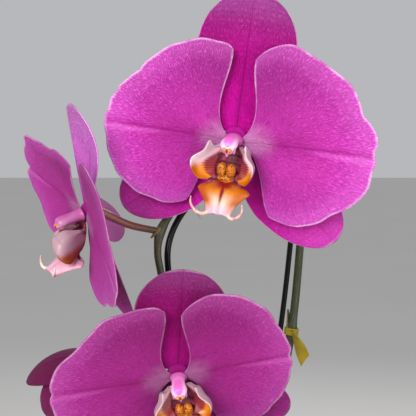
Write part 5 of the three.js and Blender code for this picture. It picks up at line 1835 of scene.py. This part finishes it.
@dataclass
class Crown:
    """The short stem, wrapped in the bases of the leaves, and its aerial roots."""

    root_sides: int = 18

    def stem(self) -> Solid:
        """The crown: a stout round with a step at the top edge of each leaf base that wraps it.

        Returns:
            The crown, with the marks crown and, for a base's brown edge, dry.
        """
        rows, sides, wraps = 90, 48, 9
        share = np.linspace(0, 1, rows)[:, None]
        angle = circle(sides)
        heights, radii = zip(*CROWN_PROFILE)
        radius = np.interp(share, heights, radii)
        slope = share * wraps + 0.5 * np.cos(angle) * np.where(np.floor(share * wraps) % 2 > 0.5, 1, -1)
        step = slope - np.floor(slope)
        radius = radius - 0.75 * step + 0.15
        solid = skin(polar(radius, angle, mix(CROWN_FOOT, CROWN_TOP, share)))
        pole = np.zeros(sides)
        solid.marks["dry"] = np.concatenate([pole, (step**6).ravel(), pole])
        return solid.marked(crown=1)

    def root(self, turn: float, reach: Profile, bend: float) -> Solid:
        """An aerial root: a knobbly round that thins to a green tip.

        Args:
            turn: The compass direction in which it sets out.
            reach: Distance from the axis and height over the bark at each point of its route.
            bend: How far it swings sideways on its way, in radians over 80 mm.

        Returns:
            The root, with the mark tip for its green end.
        """
        out = np.array(reach, float)
        angle = math.radians(turn) + bend * out[:, 0] / 80 + 0.05 * np.sin(2.1 * np.arange(len(out)))
        path = Path(polar(out[:, 0], angle, ROOT_LIFT + out[:, 1]))
        heading = math.radians(turn) + bend * 0.6
        sideways = (-math.sin(heading), math.cos(heading), 0)
        turns = circle(self.root_sides)

        def radius(share: Array) -> Array:
            """The root's radius over its length and round it.

            Args:
                share: Shares of its length by the ring's points.

            Returns:
                The radius at each of them.
            """
            taper = 1 - 0.45 * np.maximum(0, share - 0.7) / 0.3
            knobs = 1 + 0.05 * np.sin(share * path.length / 4 + turn)
            knobs = knobs + 0.035 * np.sin(3 * turns + 40 * share)
            close = np.sqrt(np.clip((1.004 - share) / 0.03, 0, 1))
            return ROOT_RADIUS * taper * knobs * close

        solid = tube(path, radius, int(path.length / 1.2), self.root_sides, sideways)
        solid.marks["tip"] = np.clip((solid.surface[:, 0] - 0.93) / 0.04, 0, 1)
        return solid

    def build(self) -> None:
        """Makes the crown and its roots as one growth."""
        roots = [self.root(turn, reach, bend) for turn, reach, bend in ROOT_ROUTES]
        add_piece("crown_with_roots", together([self.stem(), *roots]), RootFinish().material(), "root",
                  "crown_and_roots")


@dataclass
class Pot:
    """The glazed pot, the clear liner in it and the bark that fills it."""

    chips: int = 210
    chip_halves: Sequence[Numbers] = ((5, 11), (3.5, 6.5), (1.5, 3))
    heap: float = 47.0
    seed: int = 7
    drains: int = 5
    drain_ring: float = 25.0
    drain_half: float = 4.0
    drain_share: float = 0.13

    @staticmethod
    def outer(height: float) -> float:
        """The pot's outer radius at a height."""
        return mix(POT_FOOT, POT_TOP, height / POT_HEIGHT)

    @staticmethod
    def liner_inner(height: float) -> float:
        """The liner's inner radius at a height."""
        foot = POT_FLOOR + CLEARANCE
        return mix(LINER_FOOT, LINER_WIDE, (height - foot) / (LINER_TOP - foot)) - LINER_WALL

    def pot(self) -> Solid:
        """The pot: an outer wall with a rim band, a rounded rim, an inner wall and a floor.

        Returns:
            The pot.
        """
        band = POT_HEIGHT - 2 * POT_RIM
        profile = [
            (0, 0), (POT_FOOT - 2, 0), (self.outer(2), 2), (self.outer(20), 20), (self.outer(band), band),
            (POT_TOP, POT_HEIGHT - POT_RIM), (POT_TOP - 1.2, POT_HEIGHT - 0.5), (POT_TOP - 2.4, POT_HEIGHT),
            (POT_TOP - POT_WALL + 0.8, POT_HEIGHT - 0.6),
            (self.outer(POT_HEIGHT) - POT_WALL, POT_HEIGHT - 2.4),
            (self.outer(40) - POT_WALL, 40), (self.outer(POT_FLOOR + 3) - POT_WALL, POT_FLOOR + 3),
            (self.outer(POT_FLOOR) - POT_WALL - 3, POT_FLOOR), (0, POT_FLOOR),
        ]
        return lathe(rounded(profile, 2), 144)

    def liner(self) -> Solid:
        """The liner: floor, wall and turned-out lip, with windows in the floor as drains.

        Returns:
            The liner.
        """
        foot, half = POT_FLOOR + CLEARANCE, LINER_WALL / 2
        level = foot + half
        line = np.array(rounded([
            (0.0, level), (12, level), (20.5, level), (29.5, level), (LINER_FOOT - 0.9, level),
            (self.liner_inner(20) + half, 20), (LINER_WIDE - half - 0.4, LINER_TOP - 2.3),
            (LINER_WIDE + LINER_LIP - 0.6, LINER_TOP - 2.25),
        ], 3))
        slope = unit(np.gradient(line, axis=0))
        angle = circle(120)

        def face(off: float) -> Array:
            """The liner's surface, moved off its middle.

            Args:
                off: How far it is moved.

            Returns:
                The grid of points.
            """
            radius = np.maximum(line[:, :1] + slope[:, 1:] * off, 0)
            radius[0] = 0
            return polar(radius, angle, line[:, 1:] - slope[:, :1] * off)

        middle = (line[:-1, 0] + line[1:, 0]) / 2
        at_drain = (np.abs(middle - self.drain_ring) < self.drain_half) & (line[:-1, 1] < foot + 1)
        turn = (angle * self.drains / (2 * np.pi)) % 1
        keep = ~(at_drain[:, None] & (np.abs(turn - 0.5) < self.drain_share))
        return shell(face(half), face(-half), keep, around=True)

    def bed(self) -> Solid:
        """The bed of the bark: a plug in the liner whose top is uneven.

        Returns:
            The bed.
        """
        floor = POT_FLOOR + CLEARANCE + LINER_WALL + 1 + CLEARANCE
        angle = circle(96)
        inward = np.linspace(1, 0.04, 26)[:, None]
        top = polar((self.liner_inner(BARK_TOP) - CLEARANCE) * inward, angle, BARK_TOP)
        top[..., 2] += 2.2 * ripple(top / 5, 1.0) * (inward < 1)
        base = polar(self.liner_inner(floor) - CLEARANCE - 1, angle, floor)[None]
        return skin(np.concatenate([base, top]), (0, 0, floor), (0, 0, BARK_TOP)).marked(shade=0.1)

    def bark(self) -> Solid:
        """The bark: its bed, heaped in a spiral with rough chips turned every way.

        Each chip is a flattened round box, whose section is a power curve, made uneven at random.

        Returns:
            The bark, with the mark shade for how pale each chip is.
        """
        rng = np.random.default_rng(self.seed)
        count = self.chips
        order = np.arange(count)
        distance = self.heap * np.sqrt((order + 0.5) / count)
        turn = order * GOLDEN_TURN
        halves = np.stack([rng.uniform(*span, count) for span in self.chip_halves], 1)
        x = np.array([-1, -0.86, -0.5, 0, 0.5, 0.86, 1.0])
        section = circle(8)
        round_x = np.sign(x) * np.abs(x) ** 0.7
        width = np.maximum(1 - np.abs(x) ** 4, 0.3)[:, None]
        cos, sin = np.cos(section), np.sin(section)
        y = width * np.sign(cos) * np.abs(cos) ** 0.6
        z = width * np.sign(sin) * np.abs(sin) ** 0.6
        model = points_of(round_x[:, None] + 0 * y, y, z)
        rough = 1 + 0.16 * rng.standard_normal((count, *model.shape[:2], 1))
        rings = model[None] * rough * halves[:, None, None, :]
        tilt, lean = rng.normal(0, 0.3, count), rng.normal(0, 0.3, count)
        spin = rng.uniform(0, np.pi, count)
        turns = turns_about(spin, 2) @ turns_about(lean, 1) @ turns_about(tilt, 0)
        middles = polar(distance, turn, BARK_TOP + rng.uniform(0.5, 5.5, count))
        placed = np.einsum("nij,nrsj->nrsi", turns, rings) + middles[:, None, None, :]
        placed[..., 2] = np.minimum(placed[..., 2], BARK_CREST - 0.4)
        reach = np.hypot(placed[..., 0], placed[..., 1])
        fit = np.minimum(1, (self.liner_inner(BARK_TOP) - CLEARANCE) / reach)
        placed[..., :2] *= fit[..., None]
        shades = rng.uniform(0, 1, count)
        chips = [skin(chip).marked(shade=shade) for chip, shade in zip(placed, shades)]
        return together([self.bed(), *chips])

    def build(self) -> None:
        """Makes the pot, the liner and the bark."""
        add_piece("glazed_pot", self.pot(), GlazeFinish().material(), "pot_glaze", "pot")
        clear = ClearFinish("liner_plastic", (206, 212, 210), 0.45).material()
        add_piece("clear_liner", self.liner(), clear, "liner_plastic", "nursery_liner")
        add_piece("bark_chips", self.bark(), BarkFinish().material(), "bark", "bark_medium")


@dataclass
class Studio:
    """A pale floor, soft light and the camera at the photograph's place."""

    floor_half: float = 12.0
    world_light: float = 0.55

    def floor(self) -> None:
        """The floor: one wide pale sheet, which isn't part of the plant."""
        half = self.floor_half
        mesh = bpy.data.meshes.new("floor")
        corners = [(-half, -half, 0), (half, -half, 0), (half, half, 0), (-half, half, 0)]
        mesh.from_pydata(corners, [], [(0, 1, 2, 3)])
        floor = bpy.data.objects.new("floor", mesh)
        bpy.context.scene.collection.objects.link(floor)
        recipe = Recipe("floor", Roughness=0.8)
        shade = recipe.span(recipe.noise(2.0), 0.3, 0.7)
        recipe.set("Base Color", recipe.blend(shade, (216, 214, 211), (218, 216, 213)))
        mesh.materials.append(recipe.material)

    def world(self) -> None:
        """An even pale surround."""
        world = bpy.data.worlds.new("studio")
        world.use_nodes = True
        background = world.node_tree.nodes["Background"]
        background.inputs["Color"].default_value = (0.86, 0.87, 0.9, 1)
        background.inputs["Strength"].default_value = self.world_light
        bpy.context.scene.world = world

    def lamp(self, name: str, place: Numbers, aim: Numbers, size: float, power: float) -> None:
        """One soft square lamp that faces a point.

        Args:
            name: The lamp's name.
            place: Where it stands, in metres.
            aim: The point that it faces.
            size: The length of its side, in metres.
            power: Its power in watts.
        """
        data = bpy.data.lights.new(name, "AREA")
        data.shape, data.size, data.energy = "SQUARE", size, power
        lamp = bpy.data.objects.new(name, data)
        lamp.location = place
        away = np.array(place) - np.array(aim)
        lamp.rotation_euler = (
            math.atan2(math.hypot(away[0], away[1]), away[2]), 0, math.atan2(away[0], -away[1])
        )
        bpy.context.scene.collection.objects.link(lamp)

    def camera(self) -> None:
        """The camera, just above the large bloom's middle, looking slightly down."""
        data = bpy.data.cameras.new("camera")
        data.sensor_width = SENSOR
        data.lens = SENSOR * FOCAL_PIXELS / FRAME_PIXELS
        camera = bpy.data.objects.new("camera", data)
        camera.location = CAMERA_PLACE
        camera.rotation_euler = (math.radians(90 - CAMERA_PITCH), 0, 0)
        bpy.context.scene.collection.objects.link(camera)
        bpy.context.scene.camera = camera

    def build(self) -> None:
        """Sets up the whole studio."""
        self.floor()
        self.world()
        target = (-0.03, -0.06, 0.5)
        self.lamp("key", (-0.8, -1.6, 1.05), target, 0.9, 32)
        self.lamp("fill", (1.2, -1.4, 0.5), target, 1.2, 14)
        self.lamp("back", (0.4, 1.6, 1.3), target, 1.0, 8)
        self.camera()
        bpy.context.scene.view_settings.view_transform = "Standard"


def main() -> None:
    """Builds every piece in order."""
    logging.basicConfig(level=logging.INFO, format="%(name)s %(message)s")
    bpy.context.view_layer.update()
    Studio().build()
    looks = BloomLooks.made()
    for bloom in BLOOMS:
        bloom.build(looks)
    FlowerSpike().build()
    leaf_finish = LeafFinish().material()
    for leaf in LEAVES:
        leaf.build(leaf_finish)
    Crown().build()
    Pot().build()
    bpy.context.view_layer.update()


if __name__ == "__main__":
    main()
